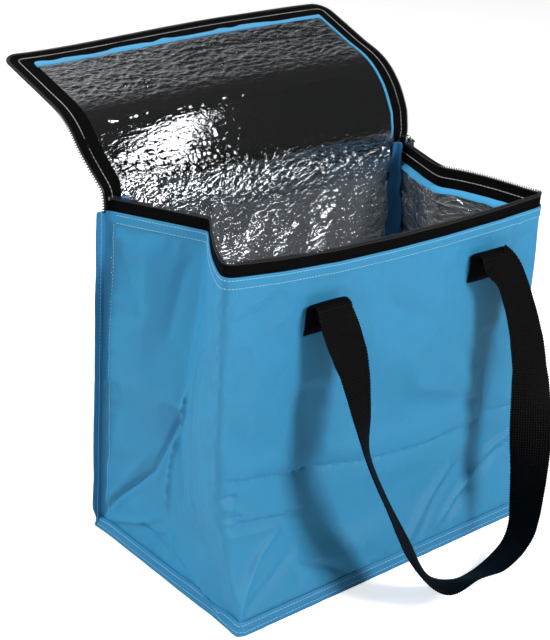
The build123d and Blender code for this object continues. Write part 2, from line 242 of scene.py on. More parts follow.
def sheet(name, outer, inner, material, uv, ring=False):
    """A thin closed piece between two grids of points, rows by columns."""
    rows, columns = outer.shape[:2]
    points = np.concatenate([outer.reshape(-1, 3), inner.reshape(-1, 3)])
    both = np.concatenate([uv.reshape(-1, 2), uv.reshape(-1, 2)])
    return make_mesh(name, points, sheet_quads(rows, columns, ring), material, both)


def grid_normals(grid, ring=False):
    if ring:
        across = np.roll(grid, -1, 1) - np.roll(grid, 1, 1)
    else:
        across = np.gradient(grid, axis=1)
    up = np.gradient(grid, axis=0)
    return unit(np.cross(across, up))


def grid_uv(grid):
    """Surface lengths across and up, so that a weave keeps its scale and direction."""
    across = np.linalg.norm(np.diff(grid, axis=1), axis=-1).mean(0)
    up = np.linalg.norm(np.diff(grid, axis=0), axis=-1).mean(1)
    u, v = np.append(0, np.cumsum(across)), np.append(0, np.cumsum(up))
    return np.stack(np.meshgrid(u, v), -1)


def copies(template, quads, centres, along, outwards):
    """Points and faces of one small template set at many places.  Its x runs along, its z
    outwards."""
    along = unit(along)
    outwards = square_to(outwards, along)
    side = np.cross(outwards, along)
    points = (centres[:, None] + template[None, :, :1] * along[:, None]
              + template[None, :, 1:2] * side[:, None] + template[None, :, 2:] * outwards[:, None])
    steps = np.arange(len(centres))[:, None, None] * len(template)
    return points.reshape(-1, 3), (quads[None] + steps).reshape(-1, 4)


def capsule(length, width, height, sides=6):
    """A small rounded bar along x, closed at both ends."""
    stations = [(-0.5, 0.35), (-0.38, 0.85), (-0.15, 1.0), (0.15, 1.0), (0.38, 0.85), (0.5, 0.35)]
    angles = np.arange(sides) * 2 * math.pi / sides
    points = [(s * length, r * width / 2 * math.cos(a), r * height / 2 * math.sin(a))
              for s, r in stations for a in angles]
    quads = list(grid_quads(len(stations), sides, ring=True))
    for start, turn in ((0, True), ((len(stations) - 1) * sides, False)):
        for k in range(0, sides - 2, 2):
            face = [start, start + k + 1, start + k + 2, start + (k + 3) % sides]
            quads.append(face[::-1] if turn else face)
    return np.array(points), np.array(quads)


def path_lengths(path):
    """How far along a path each of its points lies."""
    return np.append(0, np.cumsum(np.linalg.norm(np.diff(path, axis=0), axis=1)))


def read_at(wanted, at, rows):
    """Rows of vectors known at positions at, read at the wanted positions."""
    return np.stack([np.interp(wanted, at, rows[:, k]) for k in range(3)], -1)


def read_rows(rows, shares):
    """Rows of vectors read at shares of their length."""
    return read_at(shares, np.linspace(0, 1, len(rows)), rows)


def path_places(path, pitch, margin):
    """Evenly spaced points along a path, the path's direction at each, and their shares of its
    length.  Both ends stay free for margin millimetres."""
    lengths = path_lengths(path)
    count = max(int((lengths[-1] - margin - margin) / pitch), 2)
    wanted = np.linspace(margin, lengths[-1] - margin, count)
    direction = read_at(wanted + 0.5, lengths, path) - read_at(wanted - 0.5, lengths, path)
    return read_at(wanted, lengths, path), direction, wanted / lengths[-1]


def put(piece, slot, *nodes, body="root"):
    """Hangs a piece on a body in the place of CAD nodes, and hides those nodes. Its slot is not used."""
    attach(piece, body)
    if nodes:
        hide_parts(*nodes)


class Collector:
    """Gathers many small copies into one piece."""

    def __init__(self):
        self.points, self.quads, self.count = [], [], 0

    def add(self, points, quads):
        self.points.append(points)
        self.quads.append(quads + self.count)
        self.count += len(points)

    def make(self, name, material):
        return make_mesh(name, np.concatenate(self.points), np.concatenate(self.quads), material)


def stitch(collector, path, normals, pitch=3.2, length=2.4, width=0.55, seed=1):
    """A row of sewn stitches along path, each slightly uneven."""
    places, along, shares = path_places(path, pitch, pitch / 2)
    outwards = read_rows(normals, shares)
    random = np.random.RandomState(seed)
    along = unit(along)
    across = np.cross(outwards, along)
    along = along + across * random.uniform(-0.06, 0.06, (len(along), 1))
    places = places + outwards * 0.12
    template, quads = capsule(length, width, width * 0.8)
    collector.add(*copies(template, quads, places, along, outwards))


# ---- materials ----------------------------------------------------------------------------------
def tone(colour, share):
    """A colour made darker or lighter."""
    return tuple(min(share * c, 1) for c in colour)


def set_stops(color_ramp, stops):
    while len(color_ramp.elements) < len(stops):
        color_ramp.elements.new(0.5)
    for element, (position, colour) in zip(color_ramp.elements, stops):
        element.position = position
        element.color = (*colour, 1)


class Nodes:
    """A short way to write a material's nodes."""

    OPTIONS = ("operation", "data_type", "bands_direction", "feature")

    def __init__(self, name):
        self.material = bpy.data.materials.new(name)
        self.material.use_nodes = True
        self.tree = self.material.node_tree
        self.shader = next(n for n in self.tree.nodes if n.type == "BSDF_PRINCIPLED")

    def add(self, kind, **inputs):
        node = self.tree.nodes.new("ShaderNode" + kind)
        for key, value in inputs.items():
            if key in self.OPTIONS:
                setattr(node, key, value)
            elif key[0] == "i" and key[1:].isdigit():
                self.fill(node.inputs[int(key[1:])], value)
            else:
                self.fill(node.inputs[key], value)
        return node

    def fill(self, socket, value):
        """Links an output to a socket, or sets the socket's value."""
        if isinstance(value, bpy.types.NodeSocket):
            self.tree.links.new(value, socket)
        elif socket.type == "RGBA" and len(value) == 3:
            socket.default_value = (*value, 1)
        else:
            socket.default_value = value

    def maths(self, operation, *values):
        inputs = {"i" + str(k): value for k, value in enumerate(values)}
        return self.add("Math", operation=operation, **inputs).outputs[0]

    def clamp(self, value, high=1.0):
        """A value kept between 0 and high."""
        return self.maths("MINIMUM", self.maths("MAXIMUM", value, 0.0), high)

    def place(self, kind="Object", scale=(1, 1, 1)):
        source = self.add("TexCoord").outputs[kind]
        return self.add("Mapping", Vector=source, Scale=scale).outputs[0]

    def noise(self, vector, scale, detail=3.0, roughness=0.55, distortion=0.0):
        node = self.add("TexNoise", Vector=vector, Scale=scale, Detail=detail, Roughness=roughness,
                        Distortion=distortion)
        return node.outputs["Fac"]

    def wave(self, vector, scale, direction="X", distortion=0.0):
        node = self.add("TexWave", bands_direction=direction, Vector=vector, Scale=scale,
                        Distortion=distortion)
        return node.outputs["Fac"]

    def ramp(self, factor, stops):
        node = self.add("ValToRGB", Fac=factor)
        set_stops(node.color_ramp, stops)
        return node.outputs["Color"]

    def mix(self, factor, a, b):
        return self.add("Mix", data_type="RGBA", i0=factor, i6=a, i7=b).outputs[2]

    def worn_edges(self, start, end):
        """1 along sharp edges, 0 elsewhere: rubbed wear on metal and paint, a painted highlight on the
        twill's ridges.
        """
        edge = self.add("NewGeometry").outputs["Pointiness"]
        return self.ramp(edge, [(start, (0, 0, 0)), (end, (1, 1, 1))])

    def bump(self, height, distance, strength=1.0, below=None):
        inputs = {"Height": height, "Distance": distance, "Strength": strength}
        if below is not None:
            inputs["Normal"] = below
        return self.add("Bump", **inputs).outputs[0]

    def finish(self, **inputs):
        for key, value in inputs.items():
            self.fill(self.shader.inputs[key.replace("_", " ")], value)
        return self.material


def shell_fabric(name="blue_twill", tint=(0.031, 0.225, 0.415)):
    """Blue polyester twill: fine diagonal ribs, a soft sheen, and a painted highlight that lightens its
    sharp ridges and folds.
    """
    n = Nodes(name)
    surface = n.place("UV")
    twill = n.wave(surface, 350, "DIAGONAL", 0.6)
    threads = n.wave(n.place("UV"), 520, "Y", distortion=0.4)
    blotches = n.noise(n.place(), 9, 4)
    colour = n.mix(blotches, tone(tint, 0.76), tone(tint, 0.98))
    ribbed = n.mix(n.maths("MULTIPLY", twill, 0.45), colour, tone(tint, 1.6))
    # painted highlight: the sharp ridges and folds of the cloth are made lighter, standing in for light
    # catching them
    painted_ridge_highlight = n.maths("MULTIPLY", n.worn_edges(0.52, 0.64), 0.30)
    ridge_highlighted = n.mix(painted_ridge_highlight, ribbed, tone(tint, 1.8))
    rough = n.maths("MULTIPLY_ADD", n.noise(surface, 60, 3), 0.18, 0.40)
    soft = n.bump(n.noise(n.place(), 70, 4), 0.0006, 0.35)
    weave = n.bump(twill, 0.00022, 0.55, soft)
    weave = n.bump(threads, 0.00010, 0.35, weave)
    return n.finish(Base_Color=ridge_highlighted, Roughness=rough, Normal=weave, Sheen_Weight=0.10,
                    Sheen_Roughness=0.35, Sheen_Tint=(0.2, 0.6, 0.9), Specular_IOR_Level=0.28)


def foil_film(name, depth, dullness, metal, shade, calmest=None):
    """Bright metallised film, pressed into short flat crinkles of the given depth.  On the lid
    its middle is calmest; its relief grows below the hinge and towards the free edge."""
    n = Nodes(name)
    surface = n.place("UV", (0.42, 1, 1))
    fine = n.noise(surface, 900, 4, 0.6, 0.6)
    coarse = n.noise(surface, 300, 3, 0.55, 0.8)
    cells = n.add("TexVoronoi", feature="DISTANCE_TO_EDGE", Vector=surface, Scale=210.0)
    creases = n.ramp(cells.outputs["Distance"], [(0.0, (1, 1, 1)), (0.16, (0, 0, 0))])
    strength = 1.0
    if calmest is not None:
        reach = n.add("SeparateXYZ", Vector=n.add("TexCoord").outputs["UV"]).outputs[1]
        below = n.clamp(n.maths("MULTIPLY_ADD", reach, -40.0))
        outer = n.clamp(n.maths("MULTIPLY", n.maths("SUBTRACT", reach, 0.065), 18.0), 0.5)
        rough_parts = n.maths("MAXIMUM", below, outer)
        strength = n.maths("MULTIPLY_ADD", rough_parts, 1 - calmest, calmest)
    relief = n.bump(coarse, 0.0009 * depth, strength)
    relief = n.bump(creases, 0.00015 * depth, strength, relief)
    relief = n.bump(fine, 0.00016 * depth, strength, relief)
    colour = n.mix(n.noise(n.place(), 30, 3), tone(shade, 0.9), shade)
    rough = n.maths("MULTIPLY_ADD", fine, 0.08, dullness)
    return n.finish(Base_Color=colour, Metallic=metal, Roughness=rough, Normal=relief)


def woven_black(name, colour, pitch, roughness=0.8):
    """Black woven tape or webbing, with threads in both directions."""
    n = Nodes(name)
    surface = n.place("UV")
    scale = math.pi / 10 / (pitch * MM)
    rows = n.wave(surface, scale, "Y", 0.3)
    columns = n.wave(surface, scale, "X", 0.3)
    basket = n.maths("MULTIPLY", rows, columns)
    dust = n.noise(n.place(), 120, 4)
    shade = n.mix(basket, tone(colour, 0.35), tone(colour, 2.4))
    shade = n.mix(n.maths("MULTIPLY", dust, 0.25), shade, tone(colour, 2.2))
    relief = n.bump(basket, 0.0006, 0.9)
    relief = n.bump(n.noise(surface, 1500, 2), 0.0001, 0.4, relief)
    return n.finish(Base_Color=shade, Roughness=roughness, Normal=relief, Specular_IOR_Level=0.05)


def plain_cloth(name, colour):
    """A fine plain weave."""
    n = Nodes(name)
    surface = n.place("UV")
    basket = n.maths("MULTIPLY", n.wave(surface, 480, "X"), n.wave(surface, 480, "Y"))
    blotches = n.noise(n.place(), 40, 4)
    shade = n.mix(blotches, tone(colour, 0.85), tone(colour, 1.15))
    shade = n.mix(n.maths("MULTIPLY", basket, 0.25), shade, tone(colour, 1.5))
    return n.finish(Base_Color=shade, Roughness=0.6, Normal=n.bump(basket, 0.0002, 0.6),
                    Sheen_Weight=0.2, Sheen_Roughness=0.4)


def thread(name, colour):
    """Twisted sewing thread."""
    n = Nodes(name)
    twist = n.wave(n.place(), 900, "DIAGONAL", 0.5)
    shade = n.mix(twist, tone(colour, 0.75), tone(colour, 1.1))
    return n.finish(Base_Color=shade, Roughness=0.55, Normal=n.bump(twist, 0.0001, 0.6), Sheen_Weight=0.3)


def moulded_black():
    """Black nylon coil, faintly streaked and glossy."""
    n = Nodes("nylon_coil")
    mottled = n.noise(n.place(), 400, 3)
    shade = n.mix(mottled, (0.006, 0.006, 0.007), (0.02, 0.02, 0.022))
    rough = n.maths("MULTIPLY_ADD", mottled, 0.25, 0.28)
    return n.finish(Base_Color=shade, Roughness=rough, Normal=n.bump(mottled, 0.0001, 0.4))


def metal(name, colour, roughness):
    """Cast and plated metal with fine scratches and rubbed edges."""
    n = Nodes(name)
    scratches = n.noise(n.place(scale=(1, 6, 1)), 700, 4, 0.7)
    shade = n.mix(n.worn_edges(0.50, 0.62), colour, tuple(min(c + 0.12, 1) for c in colour))
    rough = n.maths("MULTIPLY_ADD", scratches, 0.2, roughness)
    return n.finish(Base_Color=shade, Metallic=1.0, Roughness=rough, Normal=n.bump(scratches, 0.0001, 0.3))


def painted_metal():
    """Black paint, rubbed grey along its edges."""
    n = Nodes("black_paint")
    peel = n.noise(n.place(), 500, 3)
    shade = n.mix(n.worn_edges(0.56, 0.66), (0.012, 0.012, 0.013), (0.20, 0.20, 0.20))
    return n.finish(Base_Color=shade, Metallic=0.3, Roughness=0.33, Normal=n.bump(peel, 0.0001, 0.5),
                    Coat_Weight=0.4)


def foam_white():
    n = Nodes("closed_cell_foam")
    cells = n.add("TexVoronoi", Vector=n.place(), Scale=900.0).outputs["Distance"]
    shade = n.mix(cells, (0.72, 0.72, 0.70), (0.90, 0.90, 0.88))
    return n.finish(Base_Color=shade, Roughness=0.9, Normal=n.bump(cells, 0.0003, 0.6))


def stiff_board():
    n = Nodes("stiff_sheet")
    grain = n.noise(n.place(), 600, 5)
    shade = n.mix(grain, (0.03, 0.03, 0.032), (0.07, 0.07, 0.073))
    return n.finish(Base_Color=shade, Roughness=0.7, Normal=n.bump(grain, 0.0002, 0.5))


def floor_paint():
    """White to the camera and in the light it gives back, grey where the foil mirrors it."""
    n = Nodes("pale_floor")
    grain = n.noise(n.place(), 3, 4)
    shade = n.mix(grain, (0.90, 0.90, 0.90), (0.94, 0.94, 0.94))
    path = n.add("LightPath").outputs
    glow = n.maths("MULTIPLY", path["Is Camera Ray"], 0.62)
    shade = n.mix(path["Is Glossy Ray"], shade, (0.35, 0.35, 0.36))
    return n.finish(Base_Color=shade, Roughness=0.9, Specular_IOR_Level=0.1, Emission_Color=(1, 1, 1),
                    Emission_Strength=glow)


TWILL = shell_fabric()
SEAM_CLOTH = shell_fabric("blue_seam_twill", (0.026, 0.195, 0.38))
BINDING = plain_cloth("blue_binding", (0.010, 0.135, 0.33))
HEM_CLOTH = plain_cloth("light_blue_hem", (0.045, 0.30, 0.55))
FOIL = foil_film("crinkled_foil", 1.5, 0.09, 0.95, (0.68, 0.71, 0.73))
LID_FOIL = foil_film("lid_foil", 1.5, 0.035, 0.985, (0.67, 0.69, 0.71), calmest=0.15)
TAPE = woven_black("black_zip_tape", (0.0032, 0.0032, 0.0034), 0.9)
WEBBING = woven_black("black_webbing", (0.0028, 0.0026, 0.0028), 2.2, 0.5)
COIL = moulded_black()
BLUE_THREAD = thread("pale_blue_thread", (0.36, 0.66, 0.82))
WHITE_THREAD = thread("white_thread", (0.75, 0.76, 0.76))
NICKEL = metal("plated_nickel", (0.62, 0.60, 0.56), 0.16)
PAINT = painted_metal()
FOAM = foam_white()
BOARD = stiff_board()


# ---- the walls ------------------------------------------------------------------------------------
def side_depth(side, t, z):
    """How far a side wall is tucked in, for t from the back corner (0) to the front corner (1).
    Above, it is a plain V.  Below, a flat triangle rises from the base and cuts the V off, like
    the foot of a paper bag's tuck."""
    crease = (BACK_Y - smooth_table(CREASE_Y, z)) / (BACK_Y - smooth_table(FRONT_Y, z))
    share = smooth_table(TUCK_SHARE, z)
    away = np.where(t < crease, (crease - t) / crease, (t - crease) / (1 - crease))
    soft = 0.03 if side < 0 else 0.05
    vee = 1 - np.sqrt(away**2 + soft**2) + soft / 2
    vee_depth = TUCK[side] * vee * np.maximum(share, 0.53)
    facet = TUCK[side] * np.where(z < 120, share, share + 0.6 * ease((z - 120) / 60))
    gap = vee_depth - facet
    depth = 0.5 * (vee_depth + facet - np.sqrt(gap**2 + 1.4**2)) + 0.25
    depth = depth * ease(t / 0.02) * ease((1 - t) / 0.02) ** 0.5
    # the halves of the tuck bow a little, more at mid height
    curve = np.sin(math.pi * np.clip(away, 0, 1))
    bow = 1.6 * np.sin(math.pi * np.clip(z / FABRIC_TOP, 0, 1)) + 3.5 * (t > crease) * ease((z - 190) / 90)
    return depth - bow * curve


def wall_middle(share, z, margin):
    """1 in the middle of a wall, 0 along its rim, its foot and its two upright edges."""
    upright = ease((FABRIC_TOP - RIM_BAND - z) / 40) * ease((z - SEAM_HEIGHT) / 30)
    return upright * ease(share / margin) * ease((1 - share) / margin)


SIDE_FOLDS = [
    # a line through (y, z), its width and its height; a positive height stands out from the wall
    ([(6, 180), (14, 122), (18, 80), (18, 52), (15, 38)], 1.7, 3.4),
    ([(13, 150), (24, 104), (30, 62)], 7.0, -2.2),
    ([(17, 42), (0, 29), (-40, 15), (-92, 6)], 2.0, 3.0),
    ([(10, 26), (-30, 12), (-80, 4)], 5.0, -1.6),
    ([(97, 9), (76, 16), (47, 27), (18, 44)], 2.0, 2.4),
    ([(19, 135), (9, 112), (1, 88), (-3, 54)], 4.5, -3.4),
    ([(47, 25), (30, 26), (4, 19)], 1.6, -2.2),
    ([(40, 34), (28, 30), (12, 33)], 1.8, 2.0),
    ([(98, 8), (77, 37), (39, 77), (8, 150)], 2.2, -3.0),
    ([(94, 20), (66, 60), (34, 104)], 6.0, 1.8),
    ([(-14, 230), (-16, 150), (-20, 90), (-34, 48)], 2.4, 2.2),
    ([(-24, 220), (-26, 150), (-34, 90), (-50, 50)], 5.0, -1.9),
    ([(-44, 262), (-44, 190), (-50, 120), (-66, 60)], 7.0, 1.4),
    ([(60, 276), (56, 200), (48, 130)], 10.0, 2.0),
    ([(30, 266), (36, 190)], 6.5, -2.0),
    ([(88, 268), (72, 228), (52, 204)], 5.0, -1.5),
    ([(76, 150), (84, 100), (90, 60)], 6.0, -1.3),
]


def side_wall(side, t, z):
    """A side wall's surface, side -1 the left one: t from the back corner to the front corner."""
    front = smooth_table(FRONT_Y, z)
    half = smooth_table(FRONT_HALF, z)
    x = side * (BACK_HALF + (half - BACK_HALF) * t)
    y = BACK_Y + (front - BACK_Y) * t
    depth = side_depth(side, t, z)
    strength = 1.0 if side < 0 else 0.6
    for line, width, height in SIDE_FOLDS:
        depth = depth - strength * height * fold_mark(y, z, line, width)
    swell = noise2(y / 46 + 7 * side, z / 60, 11 + side)
    depth = depth + 1.3 * swell * wall_middle(t, z, 0.08)
    return np.stack(np.broadcast_arrays(x - side * depth, y, z), -1)


CREASE_LINE = [(-187, 127), (-153, 118), (-91, 108), (-25, 99), (45, 94), (109, 95), (180, 96)]
FRONT_FOLDS = [
    # a line through (x, z), its width and its height
    ([(-180, 116), (-166, 107), (-154, 106)], 1.8, -3.4),
    ([(-176, 100), (-164, 91), (-150, 87)], 1.6, -3.4),
    ([(-180, 104), (-168, 92), (-156, 82)], 2.0, 2.8),
    ([(-178, 109), (-168, 100), (-156, 97)], 1.8, 2.6),
    ([(-176, 88), (-145, 81), (-110, 76), (-80, 74)], 1.7, -2.8),
    ([(-172, 78), (-140, 72), (-112, 70)], 3.0, 2.0),
    ([(-173, 7), (-160, 32), (-140, 54), (-112, 72)], 3.0, 3.4),
    ([(-175, 7), (-169, 40), (-166, 78)], 2.6, 2.6),
    ([(-170, 10), (-140, 28), (-100, 48)], 4.2, -2.8),
    ([(-174, 30), (-165, 58)], 3.0, -1.8),
    ([(44, 14), (82, 38), (118, 54), (146, 67), (176, 84)], 1.9, 4.0),
    ([(56, 12), (92, 33), (124, 47), (164, 66)], 2.8, -3.6),
    ([(2, 8), (38, 40), (78, 74)], 4.5, 3.6),
    ([(22, 8), (54, 37), (94, 68)], 4.2, -3.0),
    ([(-104, 38), (-70, 22), (-48, 8)], 3.0, -2.4),
    ([(134, 234), (139, 264), (143, 287)], 2.8, 2.4),
    ([(118, 270), (130, 232)], 4.2, -2.0),
    ([(-30, 268), (10, 232), (64, 206)], 10.0, -1.8),
    ([(-40, 280), (-24, 244), (-20, 200)], 7.0, 1.3),
    ([(-150, 256), (-140, 200), (-150, 146)], 9.0, 1.6),
    ([(16, 196), (40, 152), (100, 126)], 10.0, 2.0),
    ([(60, 270), (70, 220), (62, 170)], 8.0, -1.3),
]


BACK_FOLDS = [
    ([(-150, 104), (-60, 98), (40, 103), (150, 97)], 3.0, 0.8),
    ([(150, 14), (110, 50), (84, 92)], 5.0, 1.1),
    ([(-152, 14), (-120, 44), (-92, 66)], 5.0, 1.1),
]


def hollow(x, z):
    """The dents under the two roots of the handle, where the strap's weight draws the wall in."""
    depth = 0
    for root, drift in ((HANDLE_LEFT, 2), (HANDLE_RIGHT, 26)):
        centre = root + drift * ease((228 - z) / 60)
        reach = ease((226 - z) / 30) * ease((z - 25) / 60)
        depth = depth + 4.0 * np.exp(-((x - centre) / 15) ** 2) * reach
    return depth


def front_wall(share, z):
    """The front wall's surface, from its left corner to its right one."""
    half = smooth_table(FRONT_HALF, z)
    x = -half + 2 * half * share
    y = smooth_table(FRONT_Y, z)
    line = np.interp(x, *zip(*CREASE_LINE))
    out = 2.4 * np.exp(-(((line + 12) - z) / 11) ** 2) - 2.2 * np.exp(-np.abs(z - line) / 1.3)
    out = out + 0.8 * np.exp(-(((line - 12) - z) / 9) ** 2)
    for folds, width, height in FRONT_FOLDS:
        out = out + height * fold_mark(x, z, folds, width)
    swell = 1.8 * noise2(x / 64, z / 70, 3) + 0.8 * noise2(x / 25, z / 32, 4)
    out = out + swell * wall_middle(share, z, 0.05)
    out = out * ease((z - SEAM_HEIGHT + 2) / 8) * ease((1 - share) / 0.03) - hollow(x, z)
    keep = 1 - tab_zone(x, z)
    return np.stack(np.broadcast_arrays(x, y - out * keep, z), -1)


def back_wall(share, z):
    """The back wall's surface, from its right corner to its left one."""
    x = BACK_HALF * (1 - 2 * share)
    swell = 2.2 * noise2(x / 80 + 3, z / 90, 21) + 0.8 * noise2(x / 30, z / 40, 22)
    out = swell * wall_middle(share, z, 0.06)
    for line, width, height in BACK_FOLDS:
        out = out + height * fold_mark(x, z, line, width)
    out = out * ease((z - SEAM_HEIGHT + 2) / 8) * (1 - tab_zone(x, z))
    return np.stack(np.broadcast_arrays(x, BACK_Y + out, z), -1)


tab_low, tab_high = node_box("front_handle_tab_left")
HANDLE_LEFT = (tab_low[0] + tab_high[0]) / 2
WEB_HALF = (tab_high[0] - tab_low[0]) / 2
HANDLE_RIGHT = node_box("front_handle_tab_right")[0][0] + WEB_HALF


def tab_zone(x, z):
    """1 where a handle's tab lies against the wall, 0 away from it."""
    near = 0
    for root in (HANDLE_LEFT, HANDLE_RIGHT):
        near = near + ease((WEB_HALF + 16 - np.abs(x - root)) / 14) * ease((50 - np.abs(z - 226)) / 14)
    return np.clip(near, 0, 1)


CORNER_ROUND = 9.0


def sag(points):
    """The standing front of the open bag sinks under its own weight, most in its middle."""
    x, y, z = points[..., 0], points[..., 1], points[..., 2]
    splay = 8 * ease((x - 60) / 110) * ease((40 - y) / 80) * (0.25 + 0.75 * ease(z / 260))
    depth = np.interp(x, [-177, -120, -60, 0, 60, 120, 177], [2, 8, 12, 13.5, 13.5, 12, 9])
    drop = depth * ease((16 - y) / 80) * np.clip(z / FABRIC_TOP, 0, 1.1) ** 1.3
    return points + np.stack([splay, 0 * drop, -drop], -1)


def wrap_grid(u, z):
    """The walls of the wrap: u from 0 to 1 is the left wall from the back corner, 1 to 2 the
    front, 2 to 3 the right.  The two front corners are rounded folds."""
    zz = z[:, None]
    left = side_wall(-1, np.clip(u, 0, 1)[None], zz)
    front = front_wall(np.clip(u - 1, 0, 1)[None], zz)
    right = side_wall(1, np.clip(3 - u, 0, 1)[None], zz)
    grid = np.where((u < 1)[None, :, None], left, np.where((u > 2)[None, :, None], right, front))
    radius = 2.5 + (CORNER_ROUND - 2.5) * ease((z - 8) / 50) + 4 * np.exp(-((z - 95) / 30) ** 2)
    radius = radius + 5 * ease((z - 220) / 60)
    for corner, side in ((1, -1), (2, 1)):
        d_side, d_front = radius / 170.0, radius / FRONT_LENGTH
        start = side_wall(side, (1 - d_side)[:, None], zz)[:, 0]
        end = front_wall((d_front if side < 0 else 1 - d_front)[:, None], zz)[:, 0]
        middle = np.stack([side * smooth_table(FRONT_HALF, z), smooth_table(FRONT_Y, z), z], -1)
        off = (u[None] - corner) * (1 if side < 0 else -1)
        share = np.where(off < 0, off / d_side[:, None], off / d_front[:, None])
        t = np.clip((share + 1) / 2, 0, 1)[..., None]
        bend = (1 - t) ** 2 * start[:, None] + 2 * t * (1 - t) * middle[:, None] + t**2 * end[:, None]
        grid = np.where((np.abs(share) < 1)[..., None], bend, grid)
    return sag(grid)


def wall_columns(step):
    """Columns of the wrap, u from 0 to 3, about step millimetres apart in all three walls."""
    parts = [np.linspace(k, k + 1, max(int(length / step), 2), endpoint=False)
             for k, length in enumerate((SIDE_LENGTH, FRONT_LENGTH, SIDE_LENGTH))]
    return np.append(np.concatenate(parts), 3)


def levels(low, high, step):
    """Values from low to high, about step apart."""
    return np.linspace(low, high, max(int((high - low) / step), 2) + 1)


# ---- cloth ----------------------------------------------------------------------------------------
CLOTH_SLACK = 0.006
CLOTH_PRESSURE = 0.25
CLOTH_CAP = 3.5
CLOTH_FRAMES = 20


def drape(name, grid, held):
    """Lets a sheet settle as cloth a little larger than its place, held where held is 1.  Gives
    back how each point moved, no more than CLOTH_CAP millimetres."""
    rows, columns = grid.shape[:2]
    piece = make_mesh(name, grid, grid_quads(rows, columns), TWILL)
    group = piece.vertex_groups.new(name="held")
    flat = held.ravel()
    for weight in np.unique(flat):
        if weight > 0:
            group.add(np.flatnonzero(flat == weight).tolist(), float(weight), "REPLACE")
    cloth = piece.modifiers.new("drape", "CLOTH")
    settings = cloth.settings
    settings.vertex_group_mass = "held"
    settings.quality = 6
    settings.mass = 0.15
    settings.tension_stiffness = 15
    settings.compression_stiffness = 15
    settings.shear_stiffness = 5
    settings.bending_stiffness = 6
    settings.shrink_min = -CLOTH_SLACK
    settings.use_pressure = True
    settings.uniform_pressure_force = CLOTH_PRESSURE
    settings.effector_weights.gravity = 0
    scene = bpy.context.scene
    scene.frame_start, scene.frame_end = 1, CLOTH_FRAMES
    for step in range(1, CLOTH_FRAMES + 1):
        scene.frame_set(step)
    mesh = piece.evaluated_get(bpy.context.evaluated_depsgraph_get()).to_mesh()
    moved = np.zeros(rows * columns * 3, np.float32)
    mesh.vertices.foreach_get("co", moved)
    scene.frame_set(1)
    bpy.data.objects.remove(piece)
    shift = moved.reshape(rows, columns, 3) / MM - grid
    size = np.linalg.norm(shift, axis=-1, keepdims=True)
    return shift * np.minimum(1, CLOTH_CAP / np.maximum(size, 1e-6))


COARSE = 4.0


def settle_wrap():
    """How the cloth of the left, front and right walls settles."""
    u, z = wall_columns(COARSE), levels(WALL_FOOT, FABRIC_TOP, COARSE)
    grid = wrap_grid(u, z)
    held = np.zeros(grid.shape[:2])
    held[(z < SEAM_HEIGHT + 1) | (z > FABRIC_TOP - RIM_BAND)] = 1
    held[:, (u < 0.03) | (u > 2.97)] = 1
    on_front = (u >= 1) & (u <= 2)
    zone = tab_zone(grid[..., 0], z[:, None]) * on_front[None]
    held = np.maximum(held, (zone > 0.3).astype(float))
    held[:, (np.abs(u - 1) < 0.02) | (np.abs(u - 2) < 0.02)] = 1
    return drape("wrap_cloth", grid, held)


def settle_back():
    """How the cloth of the back wall settles."""
    share, z = np.linspace(0, 1, int(BACK_LENGTH / COARSE)), levels(WALL_FOOT, FABRIC_TOP, COARSE)
    grid = back_wall(share[None], z[:, None])
    held = np.zeros(grid.shape[:2])
    held[(z < SEAM_HEIGHT + 1) | (z > FABRIC_TOP - 8)] = 1
    held[:, (share < 0.02) | (share > 0.98)] = 1
    held = np.maximum(held, (tab_zone(grid[..., 0], z[:, None]) > 0.3).astype(float))
    return drape("back_cloth", grid, held)


wrap_shift = settle_wrap()
back_shift = settle_back()


def settled(grid, shift, column_share, z):
    """A wall's grid moved as its cloth settled."""
    rows, columns = shift.shape[:2]
    row_at = np.clip((z - WALL_FOOT) / (FABRIC_TOP - WALL_FOOT), 0, 1) * (rows - 1)
    return grid + resample(shift, row_at, column_share * (columns - 1))


def wrap_surface(u, z):
    coarse = wall_columns(COARSE)
    share = np.interp(u, coarse, np.linspace(0, 1, len(coarse)))
    return settled(wrap_grid(u, z), wrap_shift, share, z)


def back_surface(share, z):
    return settled(back_wall(share[None], z[:, None]), back_shift, share, z)


def layer(name, grid, start, end, material, slot, node, relief=None):
    """A closed sheet of one layer of a wall, between two distances in from its outer face."""
    normals = grid_normals(grid)
    outer, inner = grid - normals * start, grid - normals * end
    if relief is not None:
        inner = inner - normals * relief[..., None]
    put(sheet(name, outer, inner, material, grid_uv(grid)), slot, node)


def hem_relief(z):
    """The turned edge of cloth along the rim stands a little proud."""
    return 0.55 * ease((z - (FABRIC_TOP - 10.8)) / 1.6)


def make_walls():
    u, z = wall_columns(1.8), levels(WALL_FOOT, FABRIC_TOP, 1.8)
    grid = wrap_surface(u, z)
    grid = grid + grid_normals(grid) * hem_relief(z)[:, None, None]
    layer("wrap_cloth", grid, 0, FABRIC, TWILL, "shell_fabric", "outer_wrap")
    back = back_surface(np.linspace(0, 1, 186), z)
    layer("back_cloth", back, 0, FABRIC, TWILL, "shell_fabric", "back_panel")


# ---- lining: foam and foil ------------------------------------------------------------------------
def crinkle(grid, seed, strength=0.55):
    """Short flat creases pressed into the film, longer across the wall than up it."""
    uv = grid_uv(grid)
    x, z = uv[..., 0], uv[..., 1]
    bend = 2.2 * noise2(x / 31, z / 27, seed)
    ridges = 1 - 2 * np.abs(noise2(x / 7.5 + bend, z / 3.3 + bend * 0.7, seed + 1))
    small = 1 - 2 * np.abs(noise2(x / 4.1 - bend, z / 2.0 + bend, seed + 2))
    patches = 0.95 + 0.45 * noise2(x / 38, z / 30, seed + 3)
    broad = noise2(x / 26, z / 17, seed + 4)
    drift = z - 0.35 * x
    long_creases = np.maximum(1 - 9 * np.abs(noise2((x + 0.6 * z) / 90, drift / 34, seed + 5)), 0)
    return strength * ((0.62 * ridges + 0.33 * small) * patches + 0.8 * broad + 0.9 * long_creases)


